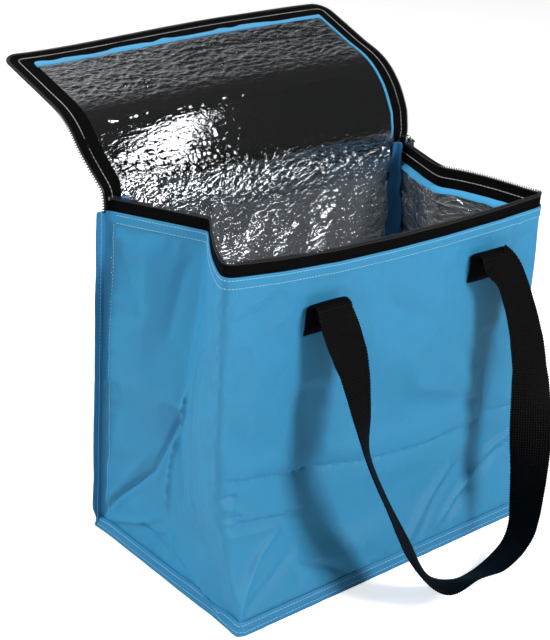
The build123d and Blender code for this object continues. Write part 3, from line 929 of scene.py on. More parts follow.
WALL_SPANS = {"left": (0, 1), "front": (1, 2), "right": (2, 3)}
FOAM_RISE = 14.0
SIDE_FOAM_GAP = 3.0
BACK_FOAM_GAP = 4.0
FOIL_STEPS = {"left": 1.35, "front": 2.2, "right": 1.35}


def lining_columns(side, step, inset):
    """Columns for one wall's lining, stopping short of the back corner's own layers."""
    low, high = WALL_SPANS[side]
    back = (inset + 0.2) / RIM_SIDE_LENGTH
    if side == "left":
        low += back
    if side == "right":
        high -= back
    length = FRONT_LENGTH if side == "front" else SIDE_LENGTH
    return np.linspace(low, high, int((high - low) * length / step))


def back_columns(inset, count):
    """Columns of the back wall that stop inset millimetres short of both corners."""
    inner = (BACK_HALF - inset) / BACK_HALF
    return np.linspace(0.5 - inner / 2, 0.5 + inner / 2, count)


def make_lining():
    bottom = LINER_FLOOR + 0.3
    for side, step in FOIL_STEPS.items():
        z = levels(bottom + FOAM_RISE, LINER_TOP, 2.4)
        grid = wrap_surface(lining_columns(side, 2.4, FOAM_END + SIDE_FOAM_GAP), z)
        layer("foam_" + side + "_wall", grid, FOAM_START, FOAM_END, FOAM, "foam", "foam_" + side)
        z = levels(FLOOR_TOP + 0.2, LINER_TOP, step)
        grid = wrap_surface(lining_columns(side, step, FOIL_END), z)
        relief = crinkle(grid, 40 + WALL_SPANS[side][0] * 7)
        layer("foil_" + side + "_wall", grid, FOIL_START, FOIL_END + 0.3, FOIL, "foil", "foil_" + side,
              relief)
    grid = back_surface(back_columns(FOAM_END + BACK_FOAM_GAP, 90), levels(bottom, LINER_TOP, 4.0))
    layer("foam_back_wall", grid, FOAM_START, FOAM_END, FOAM, "foam", "foam_back")
    grid = back_surface(back_columns(FOAM_END, 240), levels(FLOOR_TOP + 0.2, LINER_TOP, 1.3))
    layer("foil_back_wall", grid, FOIL_START, FOIL_END + 0.3, FOIL, "foil", "foil_back",
          crinkle(grid, 80, 0.6))


def floor_outline(inset, count):
    """Left and right ends of the base at even steps from back to front, inside the walls."""
    t = np.linspace(0, 1, count)
    z = np.full(1, 12.0)
    left = side_wall(-1, t[None], z[:, None])[0]
    right = side_wall(1, t[None], z[:, None])[0]
    squeeze = (BACK_Y - inset - (wrap_low[1] + inset)) / (BACK_Y - wrap_low[1])
    y = (left[:, 1] - (BACK_Y + wrap_low[1]) / 2) * squeeze + (BACK_Y + wrap_low[1]) / 2
    return left[:, 0] + inset, right[:, 0] - inset, y


def floor_sheet(name, low, high, inset, material, slot, node, relief=0.0):
    """A layer of the base between two heights; relief crinkles its upper face."""
    left, right, y = floor_outline(inset, 80)
    share = np.linspace(0, 1, 140)
    x = left[:, None] * (1 - share) + right[:, None] * share
    yy = np.broadcast_to(y[:, None], x.shape)
    wrinkles = relief * crinkle(np.stack([x, yy, 0 * x], -1), 90, 1.0) * 0.5
    wrinkles = wrinkles * ease(np.minimum(share, 1 - share) / 0.04)
    top = np.stack([x, yy, high + wrinkles], -1)
    bottom = np.stack([x, yy, np.full_like(x, low)], -1)
    put(sheet(name, top[::-1], bottom[::-1], material, grid_uv(top[::-1])), slot, node)


def make_base():
    low, high = node_box("bottom_panel")
    floor_sheet("base_cloth", low[2], high[2], 1.2, TWILL, "shell_fabric", "bottom_panel")
    low, high = node_box("foam_bottom")
    floor_sheet("base_padding", low[2], high[2], 1.2, FOAM, "foam", "foam_bottom")
    floor_sheet("base_foil", LINER_FLOOR, FLOOR_TOP, 5.2, FOIL, "foil", "foil_bottom", relief=1.0)
    board = frame["nodes"]["base_board"]
    board.data.materials.clear()
    board.data.materials.append(BOARD)


# ---- seams and stitching -------------------------------------------------------------------------
def base_ring(z, outwards, step=3.0):
    """A closed line round the foot of the bag, outwards of the walls."""
    u = wall_columns(step)
    heights = np.array([z, z + 1.0])
    wrap = wrap_grid(u, heights)
    share = np.linspace(0, 1, int(BACK_LENGTH / step))[1:-1]
    back = back_wall(share[None], heights[:, None])
    line = np.concatenate([wrap, back], 1)
    normals = grid_normals(line, ring=True)
    return (line + normals * outwards)[0], normals[0]


def make_base_seam():
    """The sewn edge round the foot: a soft flattened roll with two rows of stitches."""
    heights = [0.4, 0.15, 0.6, 2.5, 5.5, 8.5, 10.4, 11.0, 10.6]
    standing = [0.1, 4.3, 4.9, 4.6, 3.5, 2.5, 1.7, 1.0, 0.1]
    outer = []
    for z, away in zip(heights, standing):
        line, normals = base_ring(np.clip(z, WALL_FOOT, SEAM_HEIGHT), away)
        line[:, 2] = z
        wave = 0.22 * noise2(np.arange(len(line)) / 4.0, np.full(len(line), z / 3.0), 31)
        outer.append(line + normals * wave[:, None] * (away > 0.5))
    outer = np.stack(outer)
    inner = []
    for z in heights:
        line, _ = base_ring(np.clip(z, WALL_FOOT, SEAM_HEIGHT), 0.05)
        line[:, 2] = np.clip(z, 0.5, 10.5)
        inner.append(line)
    piece = sheet("base_seam_edge", outer, np.stack(inner), SEAM_CLOTH, grid_uv(outer), ring=True)
    put(piece, "shell_fabric", "base_seam")
    rows = Collector()
    for z, away, seed in ((4.0, 4.15, 5), (8.6, 2.5, 6)):
        line, normals = base_ring(z, away)
        closed = np.concatenate([line, line[:1]])
        stitch(rows, closed, np.concatenate([normals, normals[:1]]), 3.3, 2.5, 0.5, seed)
    put(rows.make("base_seam_stitches", BLUE_THREAD), None)


def make_side_seams():
    """The back corners' seams stand out as flat flanges, sewn with one row of stitches."""
    section = [(0.0, -0.35), (0.35, -0.62), (0.75, -0.60), (0.95, -0.42), (1.0, 0.0), (0.95, 0.42),
               (0.75, 0.60), (0.35, 0.62), (0.0, 0.35)]
    rows = Collector()
    for side, name in ((-1, "left"), (1, "right")):
        low, high = node_box("back_" + name + "_seam")
        z = levels(1.5, high[2] - 0.3, 3.0)
        near, far = (low[0], high[0]) if side > 0 else (high[0], low[0])
        reach = far - near
        middle_y = (low[1] + high[1]) / 2
        ripple = 0.5 * noise2(z / 24, 0 * z, 33 + side) + 0.15 * noise2(z / 6, 0 * z, 35 + side)
        width = (1 + 0.05 * noise2(z / 30, 0 * z + 3, 36)) * (1 - 0.45 * ease((22 - z) / 14))
        skin, core = (np.stack([np.stack([near + wide * s * reach * width,
                                          middle_y + thick * b + ripple * s, z], -1)
                                for s, b in section], 1) for wide, thick in ((1.0, 1.0), (0.5, 0.2)))
        piece = sheet("back_" + name + "_seam_edge", skin, core, SEAM_CLOTH, grid_uv(skin))
        put(piece, "shell_fabric", "back_" + name + "_seam")
        for face in (-1, 1):
            path = np.stack([near + 0.42 * reach + 0 * z, middle_y + face * 0.62 + 0.42 * ripple, z], -1)
            stitch(rows, path, np.tile([0.0, face, 0.0], (len(z), 1)), 3.2, 2.4, 0.45, 8 + side)
    put(rows.make("side_seam_stitches", BLUE_THREAD), None)


def make_rim_stitches():
    """Two rows of topstitching under the rim, on the wrap and on the back panel, and one row up
    each side wall beside its back corner."""
    rows = Collector()
    u = wall_columns(2.5)
    share = np.linspace(0, 1, 130)
    for below, seed in ((2.2, 12), (8.8, 13)):
        z = np.array([FABRIC_TOP - below - 1, FABRIC_TOP - below])
        grid = wrap_surface(u, z)
        normals = grid_normals(grid)
        line = (grid + normals * 0.55)[1][4:-4]
        stitch(rows, line, normals[1][4:-4], 3.1, 2.3, 0.5, seed)
        grid = back_surface(share, z)
        normals = grid_normals(grid)
        stitch(rows, grid[1][4:-4], normals[1][4:-4], 3.1, 2.3, 0.5, seed + 4)
    z = levels(SEAM_HEIGHT + 3, FABRIC_TOP - 3, 6.0)
    for at in (0.045, 2.955):
        grid = wrap_surface(np.array([at - 0.01, at, at + 0.01]), z)
        normals = grid_normals(grid)
        stitch(rows, grid[:, 1], normals[:, 1], 3.2, 2.4, 0.45, 17)
    put(rows.make("rim_topstitching", BLUE_THREAD), None)


def make_corner_bindings():
    """A folded blue binding covers the lining's seam in each back corner, from the floor to the
    hinge.  Its two halves lie against the two walls and pinch together along the seam."""
    section = [(7.6, 0.1), (7.3, 0.9), (6.2, 1.5), (4.6, 2.2), (3.4, 3.1), (3.0, 3.9), (3.45, 3.45),
               (3.9, 3.0), (3.1, 3.4), (2.2, 4.6), (1.5, 6.2), (0.9, 7.3), (0.1, 7.6)]
    for side, name in ((-1, "left"), (1, "right")):
        z = levels(FLOOR_TOP + 0.4, TAPE_TOP + 1.5, 4.0)
        narrow = 1.8 - 0.6 * ease((z - 235) / 60) + 0.06 * noise2(z / 28, 0 * z, 51 + side)
        wall = wrap_surface(np.array([0.0, 0.06]) if side < 0 else np.array([3.0, 2.94]), z)
        forward = wall[:, 1] - wall[:, 0]
        forward /= np.linalg.norm(forward[:, :2], axis=1, keepdims=True)
        slope = np.abs(forward[:, 0] / forward[:, 1])
        inset = FOIL_END + 0.5
        corner = np.column_stack([side * (BACK_HALF - inset * (slope + np.sqrt(1 + slope**2))),
                                  BACK_Y - inset + 0 * z, z])
        along = np.array([-side, 0.0, 0.0])
        forward[:, 2] = 0
        skin, core = (np.stack([corner + size * narrow[:, None] * (a * along + b * forward)
                                for a, b in section[::side]], 1) for size in (1.0, 0.3))
        piece = sheet("corner_binding_" + name + "_fold", skin, core, BINDING, grid_uv(skin))
        put(piece, "binding", "corner_binding_" + name)


# ---- the zip on the rim --------------------------------------------------------------------------
def rim_columns(step, relief=3.2):
    """Columns along the rim that stop short of the two back corners."""
    u = wall_columns(step)
    ends = relief / RIM_SIDE_LENGTH
    return np.concatenate([[ends], u[(u > ends + 0.004) & (u < 3 - ends - 0.004)], [3 - ends]])


def make_rim_tape():
    """The zip's tape stands above the cloth and lines the inside of the rim.  Gives back the line
    of its top edge, and the directions out of the wall there."""
    u = rim_columns(1.6)
    z = levels(LINER_TOP + 3.0, TAPE_TOP, 1.3)
    grid = wrap_surface(u, z)
    normals = grid_normals(grid)
    place = grid_uv(grid)
    free = ease((z - FABRIC_TOP) / 8)[:, None]
    wave = 0.45 * noise2(place[..., 0] / 34, place[..., 1] / 30, 61) * free
    grid = grid + normals * wave[..., None]
    layer("rim_zip_tape", grid, TAPE_INSET, TAPE_INSET + TAPE_THICKNESS, TAPE, "zip_tape", "rim_tape")
    rows = Collector()
    inside = grid - normals * (TAPE_INSET + TAPE_THICKNESS)
    row = np.argmin(np.abs(z - (TAPE_TOP - 8.5)))
    stitch(rows, inside[row][3:-3], -normals[row][3:-3], 3.4, 2.8, 0.45, 19)
    outside = grid - normals * TAPE_INSET
    put(rows.make("rim_tape_stitches", WHITE_THREAD), None)
    top = (outside + inside)[-1] / 2
    return top, normals[-1]


def coil_teeth(collector, path, up, side, pitch=2.1):
    """A row of coil turns across the edge of a tape, with the cord that they are sewn to."""
    places, _, shares = path_places(path, pitch, 1.0)
    ups, sides = read_rows(up, shares), read_rows(side, shares)
    template, quads = capsule(3.4, 1.1, 1.8, 8)
    collector.add(*copies(template, quads, places + ups * 0.3, ups, sides))
    angles = np.arange(6) * math.pi / 3
    tube = np.stack([path + up * (0.7 * math.cos(a) - 0.8) + side * 0.95 * math.sin(a) for a in angles], 1)
    collector.add(tube.reshape(-1, 3), grid_quads(len(path), 6, ring=True))


def make_rim_coil(top, normals):
    up = np.tile(UP, (len(top), 1))
    teeth = Collector()
    coil_teeth(teeth, top + up * 1.1, up, normals)
    put(teeth.make("rim_zip_coil", COIL), "zip_coil", "rim_coil")


def make_rim_hem():
    """A light blue strip folded over the top of the lining, with a wavy lower edge."""
    u = rim_columns(2.0, 6.0)
    steps = np.arange(len(u))
    wave = 0.9 * noise2(steps / 7.0, 0 * steps, 71) + 0.3 * noise2(steps / 2.5, 0 * steps, 72)
    rows = []
    for above, inset in ((3.4, 2.1), (2.0, 3.8), (0.6, 5.9), (-1.0, 6.3)):
        z = LINER_TOP + above
        grid = wrap_surface(u, np.array([z - 1, z]))
        normals = grid_normals(grid)
        line = (grid - normals * inset)[1]
        line[:, 2] += wave * (1.0 if inset > 4 else 0.4)
        rows.append((line, normals[1]))
    outer = np.stack([line for line, normal in rows])
    inner = np.stack([line - normal * 0.6 for line, normal in rows])
    piece = sheet("rim_hem_edge", outer[::-1], inner[::-1], HEM_CLOTH, grid_uv(outer[::-1]))
    put(piece, "binding", "rim_hem")


# ---- lid ------------------------------------------------------------------------------------------
LID_LENGTH = 169.0
LID_HALF = node_box("lid_front_coil")[1][0]
LID_SPREAD = 0.047
LID_SPLIT = 33.5
SHELL_MARGIN = 14.0
FOIL_MARGIN = 20.5
REAR_ANGLE = 54.0
FRONT_ANGLE = 20.0
CORNER_RADIUS = 15.0
RING_SIDE_END = LID_LENGTH - 20.0
FILM_FACE = 0.35
FILM_BACK = 0.45

lid_steps = np.arange(-40.0, 180.0, 0.5)
lid_turn = np.radians(90 - (90 - REAR_ANGLE) * ease((lid_steps + 7) / 18)
                      - (REAR_ANGLE - FRONT_ANGLE) * ease((lid_steps - 42) / 52))
lid_y = np.cumsum(np.cos(lid_turn)) * 0.5
lid_z = np.cumsum(np.sin(lid_turn)) * 0.5
at_hinge = np.searchsorted(lid_steps, 0.0)
lid_y += HINGE[1] + 0.2 - lid_y[at_hinge]
lid_z += HINGE[2] - 0.2 - lid_z[at_hinge]


def lid_lift(reach, x):
    """How far the lid's sides leave its middle: the right one stands up, the left one sags."""
    side = x / LID_HALF
    right = np.interp(reach, [-8, 18, 45, 70, 100, 169], [0, 7, 7, 5, 3.5, 4.5])
    left = np.interp(reach, [-8, 30, 67, 120, 169], [0, 3, 7, 10, 13])
    return right * ease((side + 0.1) / 1.1) ** 1.3 - left * ease((0.35 - side) / 1.35)


def lid_surface(reach, x, height):
    """A point of the open lid: reach from the hinge, x across, height out from its inner face."""
    reach, x, height = np.broadcast_arrays(reach, x, height)
    x = x * (1 + LID_SPREAD * ease((reach + 18) / 62))
    turn = np.interp(reach, lid_steps, lid_turn)
    swollen = 0.15 + 0.85 * ease((reach + 5) / 13)
    away = height * swollen - lid_lift(reach, x)
    y = np.interp(reach, lid_steps, lid_y) + away * np.sin(turn)
    z = np.interp(reach, lid_steps, lid_z) - away * np.cos(turn)
    return np.stack([x, y, z], -1)


def lid_frame(reach, x):
    """Outward normal of the lid's outer face."""
    turn = np.interp(reach, lid_steps, lid_turn)
    return np.stack(np.broadcast_arrays(0 * x, np.sin(turn), -np.cos(turn)), -1)


def lid_rows(first, last, step):
    return np.linspace(first, last, max(int((last - first) / step), 2) + 1)


def panel_half(reach, margin):
    """Half width of a lid panel at reach: its free corners are rounded."""
    radius = max(CORNER_RADIUS - margin, 3.0)
    end = LID_LENGTH - margin
    into = np.clip(reach - (end - radius), 0, radius)
    return LID_HALF - margin - radius + np.sqrt(np.maximum(radius**2 - into**2, 0.0))


def lid_panel(first, last, margin, step):
    """Reach and x of a grid over a lid panel."""
    reach = lid_rows(first, last, step)[:, None]
    if last > LID_SPLIT + 1:
        reach[-4:, 0] = last - np.array([1.6, 0.7, 0.2, 0.0])
    share = np.linspace(-1, 1, int(2 * LID_HALF / step))[None]
    return reach, share * panel_half(reach, margin)


def puff(reach, x, margin):
    """The lid's padding makes it fullest away from its edges."""
    edge = np.minimum(panel_half(reach, margin) - np.abs(x), LID_LENGTH - margin - reach)
    return ease(edge / 26)


def lid_blend(piece, half, slot, *nodes):
    """Bakes a lid piece's placement into its mesh, for the rear or the front half, and hides the CAD nodes
    it stands for.
    """
    if half == "rear":
        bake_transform(piece)
    else:
        low, high = lid_surface(np.array([47.0, 87.0]), np.zeros(2), np.full(2, 2.7)) * MM
        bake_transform(piece)
    if nodes:
        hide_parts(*nodes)


def make_lid_panels():
    halves = (("rear", -13.0, LID_SPLIT), ("front", LID_SPLIT, LID_LENGTH))
    for half, first, last in halves:
        strip = ["lid_hinge_strip"] if half == "rear" else []
        end = last - SHELL_MARGIN if half == "front" else last
        reach, x = lid_panel(first, end, SHELL_MARGIN, 2.0)
        swell = puff(reach, x, SHELL_MARGIN)
        ripple = 0.9 * noise2(x / 42, reach / 34, 101) + 0.35 * noise2(x / 15, reach / 13, 102)
        height = 2.4 + 3.0 * swell + ripple * swell
        edge_fold = 0.5 * ease((16 - (panel_half(reach, SHELL_MARGIN) - np.abs(x))) / 3)
        outer = lid_surface(reach, x, height + edge_fold)
        inner = lid_surface(reach, x, height + edge_fold - FABRIC)
        piece = sheet("lid_" + half + "_cover", outer[:, ::-1], inner[:, ::-1], TWILL, grid_uv(outer))
        lid_blend(piece, half, "shell_fabric", "lid_" + half + "_shell", *strip)

        end = last - FOIL_MARGIN - 1 if half == "front" else last
        reach, x = lid_panel(2.0 if half == "rear" else first, end, FOIL_MARGIN + 1, 4.0)
        swell = puff(reach, x, FOIL_MARGIN)
        top = lid_surface(reach, x, 2.2 + 2.0 * swell)
        low = lid_surface(reach, x, 0.9 + 0 * x)
        piece = sheet("lid_" + half + "_padding", top[:, ::-1], low[:, ::-1], FOAM, grid_uv(top))
        lid_blend(piece, half, "foam", "lid_" + half + "_foam")


def lining_grid(first, end, step):
    """Reach, x and level points of the lid's film; below the hinge it swings in to the back
    wall's lining and grows a little wider."""
    reach, x = lid_panel(first, end, FOIL_MARGIN, step)
    below = ease(-(reach + 1) / 25)
    level = lid_surface(reach, x, FILM_FACE + 0 * x)
    level[..., 1] -= 5.2 * below
    level[..., 0] *= 1 + 0.035 * ease(-(reach - 6) / 20)
    return reach, x, level


def make_lid_lining():
    """The film runs from the back wall over the hinge and across the inside of the lid."""
    for half, first, last in (("rear", -34.0, LID_SPLIT), ("front", LID_SPLIT, LID_LENGTH)):
        end = last - FOIL_MARGIN if half == "front" else last
        reach, x, level = lining_grid(first, end, 1.3)
        relief = 0.16 * lid_crumple(reach, x) * np.clip(4 * puff(reach, x, FOIL_MARGIN), 0.12, 1)
        normals = lid_frame(reach, x)
        face = level - normals * relief[..., None]
        back = level + normals * FILM_BACK
        uv = np.stack(np.broadcast_arrays(x, reach), -1)
        piece = sheet("lid_" + half + "_lining", back[:, ::-1], face[:, ::-1], LID_FOIL, uv[:, ::-1])
        lid_blend(piece, half, "foil", "lid_" + half + "_foil")


SPARSE_LINES = [
    [(-150, 56), (-90, 60), (-20, 57)],
    [(-40, 62), (40, 58), (130, 62)],
    [(-30, 80), (60, 77), (112, 81)],
]


def lid_crumple(reach, x):
    """Relief of the lid's film: fine flat creases that are deepest in its outer half, long
    crumples and specks by the hinge, a few broken sharp lines across its calm part, and one crease
    near its free edge."""
    bend = 2.0 * noise2(x / 31, reach / 27, 111)
    ridges = 1 - 2 * np.abs(noise2(x / 8.0 + bend, reach / 3.2 + bend * 0.6, 112))
    small = 1 - 2 * np.abs(noise2(x / 4.4 - bend, reach / 2.2 + bend, 113))
    fine = (0.6 * ridges + 0.35 * small) * (0.7 + 0.3 * noise2(x / 40, reach / 30, 114))
    warp = reach + 5 * noise2(x / 50, reach / 60, 115)
    near_hinge = np.exp(-((reach - 8) / 18) ** 2)
    long_folds = (1 - 2 * np.abs(noise2(x / 62 + 5, warp / 6.5, 116))) * near_hinge
    below = ease((6 - reach) / 14)
    calm = ease((reach - 10) / 12) * ease((92 - reach) / 34)
    specks = np.maximum(noise2(x / 5.0, reach / 2.6, 117) - 0.35, 0) * np.exp(-((reach - 14) / 22) ** 2)
    sparse = sum(fold_mark(x, reach, line, 0.9) for line in SPARSE_LINES)
    sparse = sparse * np.maximum(noise2(x / 6, reach / 8, 118) + 0.25, 0)
    across = fold_mark(x, reach, [(-40, 128), (40, 124), (120, 118), (150, 120)], 1.6)
    outer = ease((reach - 62) / 40)
    return (fine * (2.0 - 1.75 * calm + 1.4 * below + 6.5 * outer) + 1.6 * long_folds + 3.2 * specks
            + 8.0 * sparse - 6.0 * across)


def ring_line(margin, first, step=2.0, side_margin=None):
    """x and reach round the lid's edge at margin: up the left side from first, across the free
    end and down the right side.  The same number of points for every margin.  The sides can have
    a margin of their own."""
    radius = max(CORNER_RADIUS - margin, 2.5)
    half, end = LID_HALF - (side_margin or margin), LID_LENGTH - margin
    side = lid_rows(0, 1, step / (RING_SIDE_END - first)) * (end - radius - first) + first
    angles = np.radians(np.linspace(0, 90, 11))[1:-1]
    corner_x = half - radius + radius * np.cos(angles)
    corner_reach = end - radius + radius * np.sin(angles)
    share = np.linspace(-1, 1, 150)
    x = np.concatenate([0 * side - half, -corner_x, share * (half - radius), corner_x[::-1],
                        0 * side + half])
    reach = np.concatenate([side, corner_reach, 0 * share + end, corner_reach[::-1], side[::-1]])
    return x, reach


def side_line(margin, first, last, side, step=2.0):
    """x and reach along one side of the lid's rear half."""
    reach = lid_rows(first, last, step)
    return np.full(len(reach), side * (LID_HALF - margin)), reach


def lid_strip(lines, outer_heights, inner_heights, wave=0.0, tuck=0.0):
    """A strip across several margins: its outer and inner grids.  Along the lid's left side it
    is tucked away under the film by tuck."""
    outer, inner = [], []
    for (x, reach), high, low in zip(lines, outer_heights, inner_heights):
        ripple = wave * noise2(x / 21 + 9, reach / 21, 131)
        ripple = ripple + tuck * ease((HEM_TUCK_END - reach) / 5) * (x < 0)
        outer.append(lid_surface(reach, x, high + ripple))
        inner.append(lid_surface(reach, x, low + ripple))
    return np.stack(outer), np.stack(inner)


TAPE_MARGINS = [2.2, 5.0, 8.5, 12.0, 15.5, 19.0, 22.5]
HEM_MARGINS = {"front": [18.6, 20.4, 22.4, 24.2], "rear": [20.0, 20.8, 21.6, 22.4]}
HEM_TUCK = 2.4
HEM_TUCK_END = LID_LENGTH - 23.0
HEM_WAVY_FROM = LID_LENGTH - 27.0
LID_FIRST = -19.0


def make_strip(name, half, margins, outer_heights, inner_heights, material, slot, nodes, wave, wavy=0.0):
    """A tape or hem round one half of the lid.  wave ripples its faces; wavy, which only the hem
    has, makes its inner edge wander along the lid's free end."""
    if half == "front":
        sides = HEM_MARGINS["rear"] if wavy else margins
        runs = [[ring_line(m, LID_SPLIT, side_margin=s) for m, s in zip(margins, sides)]]
    else:
        runs = [[side_line(m, LID_FIRST, LID_SPLIT, side) for m in margins] for side in (-1, 1)]
    points, quads, uvs, count = [], [], [], 0
    for k, lines in enumerate(runs):
        if wavy:
            lines = [(x, reach + wavy * noise2(x / 12, 0 * x, 122) * share * (reach > HEM_WAVY_FROM))
                     for (x, reach), share in zip(lines, np.linspace(1, 0, len(lines)))]
        outer, inner = lid_strip(lines, outer_heights, inner_heights, wave, HEM_TUCK if wavy else 0)
        if k == 0:
            outer, inner = outer[:, ::-1], inner[:, ::-1]
        rows, columns = outer.shape[:2]
        points += [outer.reshape(-1, 3), inner.reshape(-1, 3)]
        quads.append(sheet_quads(rows, columns) + count)
        flat = grid_uv(outer).reshape(-1, 2)
        uvs += [flat, flat]
        count += 2 * rows * columns
    piece = make_mesh(name, np.concatenate(points), np.concatenate(quads), material, np.concatenate(uvs))
    lid_blend(piece, half, slot, *nodes)


def make_lid_zip():
    for half in ("rear", "front"):
        sides = ("_left", "_right") if half == "rear" else ("",)
        count = len(TAPE_MARGINS)
        make_strip("lid_" + half + "_zip_tape", half, TAPE_MARGINS, [2.0] * count, [1.0] * count, TAPE,
                   "zip_tape", ["lid_" + half + "_tape" + s for s in sides], 0.4)
        make_strip("lid_" + half + "_hem_edge", half, HEM_MARGINS[half], [0.75] * 4,
                   [0.05, -0.15, -0.25, -0.1], HEM_CLOTH, "binding",
                   ["lid_" + half + "_hem" + s for s in sides], 0.0, 1.6 if half == "front" else 0.3)
        teeth, white, blue = Collector(), Collector(), Collector()
        for path, normals, outwards in lid_runs(half, 1.1):
            coil_teeth(teeth, path, outwards, normals)
        piece = teeth.make("lid_" + half + "_zip_coil", COIL)
        lid_blend(piece, half, "zip_coil", *["lid_" + half + "_coil" + s for s in sides])
        for path, normals, outwards in lid_runs(half, 9.5, 0.95):
            stitch(white, path, -normals, 3.4, 2.8, 0.45, 23)
        piece = white.make("lid_" + half + "_tape_stitches", WHITE_THREAD)
        lid_blend(piece, half, None)
        for margin in (16.2, 21.5):
            for path, normals, outwards in lid_runs(half, margin, 3.4 if margin < 20 else 3.9):
                stitch(blue, path, normals, 3.2, 2.4, 0.5, 29)
        piece = blue.make("lid_" + half + "_topstitching", BLUE_THREAD)
        lid_blend(piece, half, None)


def lid_runs(half, margin, height=1.5):
    """Paths round the lid at a margin, with normals and directions away from its middle."""
    if half == "front":
        lines = [ring_line(margin, LID_SPLIT)]
    else:
        lines = [side_line(margin, LID_FIRST, LID_SPLIT, side) for side in (-1, 1)]
    runs = []
    for x, reach in lines:
        path = lid_surface(reach, x, height + 0 * x)
        normals = lid_frame(reach, x)
        outwards = unit(np.cross(np.gradient(path, axis=0), normals))
        centre = lid_surface(np.clip(reach, None, 120.0), 0 * x, height + 0 * x)
        flip = ((path - centre) * outwards).sum(1, keepdims=True) < 0
        runs.append((path, normals, np.where(flip, -outwards, outwards)))
    return runs


# ---- handles ---------------------------------------------------------------------------------------
WEB_THICKNESS = 1.5
BEND_Z = 252.0
BEND_RADIUS = 6.8
RIB_PITCH = 2.2
# The hanging loops as the solids have them: x, distance in front of the tab, z, and turn (90 puts
# the webbing's width along the wall, 0 square to the loop).
FRONT_LOOP = [
    (-80, 13.6, 252, 90), (-76, 21, 233, 96), (-70, 30, 206, 84), (-70, 43, 172, 66),
    (-70, 55, 138, 46), (-58, 67, 100, 42), (-42, 83, 57, 46), (-20, 94, 24, 26),
    (14, 97, 15.5, -10), (50, 97, 14.5, -6), (86, 92, 29, -6), (104, 80, 62, 6),
    (118, 65, 105, 40), (128, 48, 153, 72), (129, 34, 194, 82), (121, 19, 236, 90),
    (107, 13.6, 252, 90),
]
BACK_LOOP = [
    (-80, 13.6, 252, 90), (-80, 19, 215, 88), (-81, 26, 165, 76), (-79, 33, 115, 58),
    (-65, 40, 62, 34), (-31, 45, 23, 10), (13, 47, 11, 0), (58, 45, 23, 10),
    (92, 40, 62, 34), (106, 33, 115, 58), (108, 26, 165, 76), (107, 19, 215, 88),
    (107, 13.6, 252, 90),
]


def spline_rows(table, steps):
    """A smooth curve through a table's rows."""
    table = np.array(table, float)
    at = np.linspace(0, len(table) - 1, (len(table) - 1) * steps + 1)
    indices, weights = cubic_samples(len(table), at)
    return sum(table[i] * w[:, None] for i, w in zip(indices, weights))


def hang_front(points):
    """The front handle's left root sits lower than its right one."""
    high = np.clip(points[:, 2] / BEND_Z, 0, 1) ** 2
    drop = np.interp(points[:, 0], [HANDLE_LEFT, HANDLE_RIGHT], [8.5, 3.5]) * high
    shift = np.interp(points[:, 0], [HANDLE_LEFT, HANDLE_RIGHT], [3.5, 0.0]) * high
    return points + np.column_stack([shift, 0 * drop, -drop])


def handle_stations(side, table):
    """Centre points, turns and which end, from the tail inside the wall over the bend, round the
    loop, and back into the wall."""
    low, high = node_box(side + "_handle_tab_left")
    way = -1 if side == "front" else 1
    middle = (low[1] if way < 0 else high[1]) - way * WEB_THICKNESS / 2
    inside = (high[1] if way < 0 else low[1]) + way * WEB_THICKNESS / 2
    pivot = middle + way * BEND_RADIUS
    rise = [(inside, low[2] + 0.2), (inside, 215), (inside, 224), (inside * 0.75 + middle * 0.25, 228.6),
            (inside * 0.25 + middle * 0.75, 231.2), (middle, 235), (middle, 243)]
    angles = np.pi * np.arange(13) / 13
    bend = [(pivot - way * BEND_RADIUS * math.cos(a), BEND_Z + BEND_RADIUS * math.sin(a)) for a in angles]
    ends = np.array(rise + bend)
    loop = spline_rows(table, 10)
    loop_points = np.column_stack([loop[:, 0], middle + way * loop[:, 1], loop[:, 2]])
    first = np.column_stack([np.full(len(ends), table[0][0]), ends])
    last = np.column_stack([np.full(len(ends), table[-1][0]), ends])
    points = np.concatenate([first, loop_points, last[::-1]])
    turns = np.concatenate([np.full(len(ends), 90.0), loop[:, 3], np.full(len(ends), 90.0)])
    fixed = np.concatenate([np.full(len(ends), -1), np.zeros(len(loop)), np.full(len(ends), 1)])
    if side == "front":
        points = hang_front(points)
    return points, np.radians(turns), fixed, way


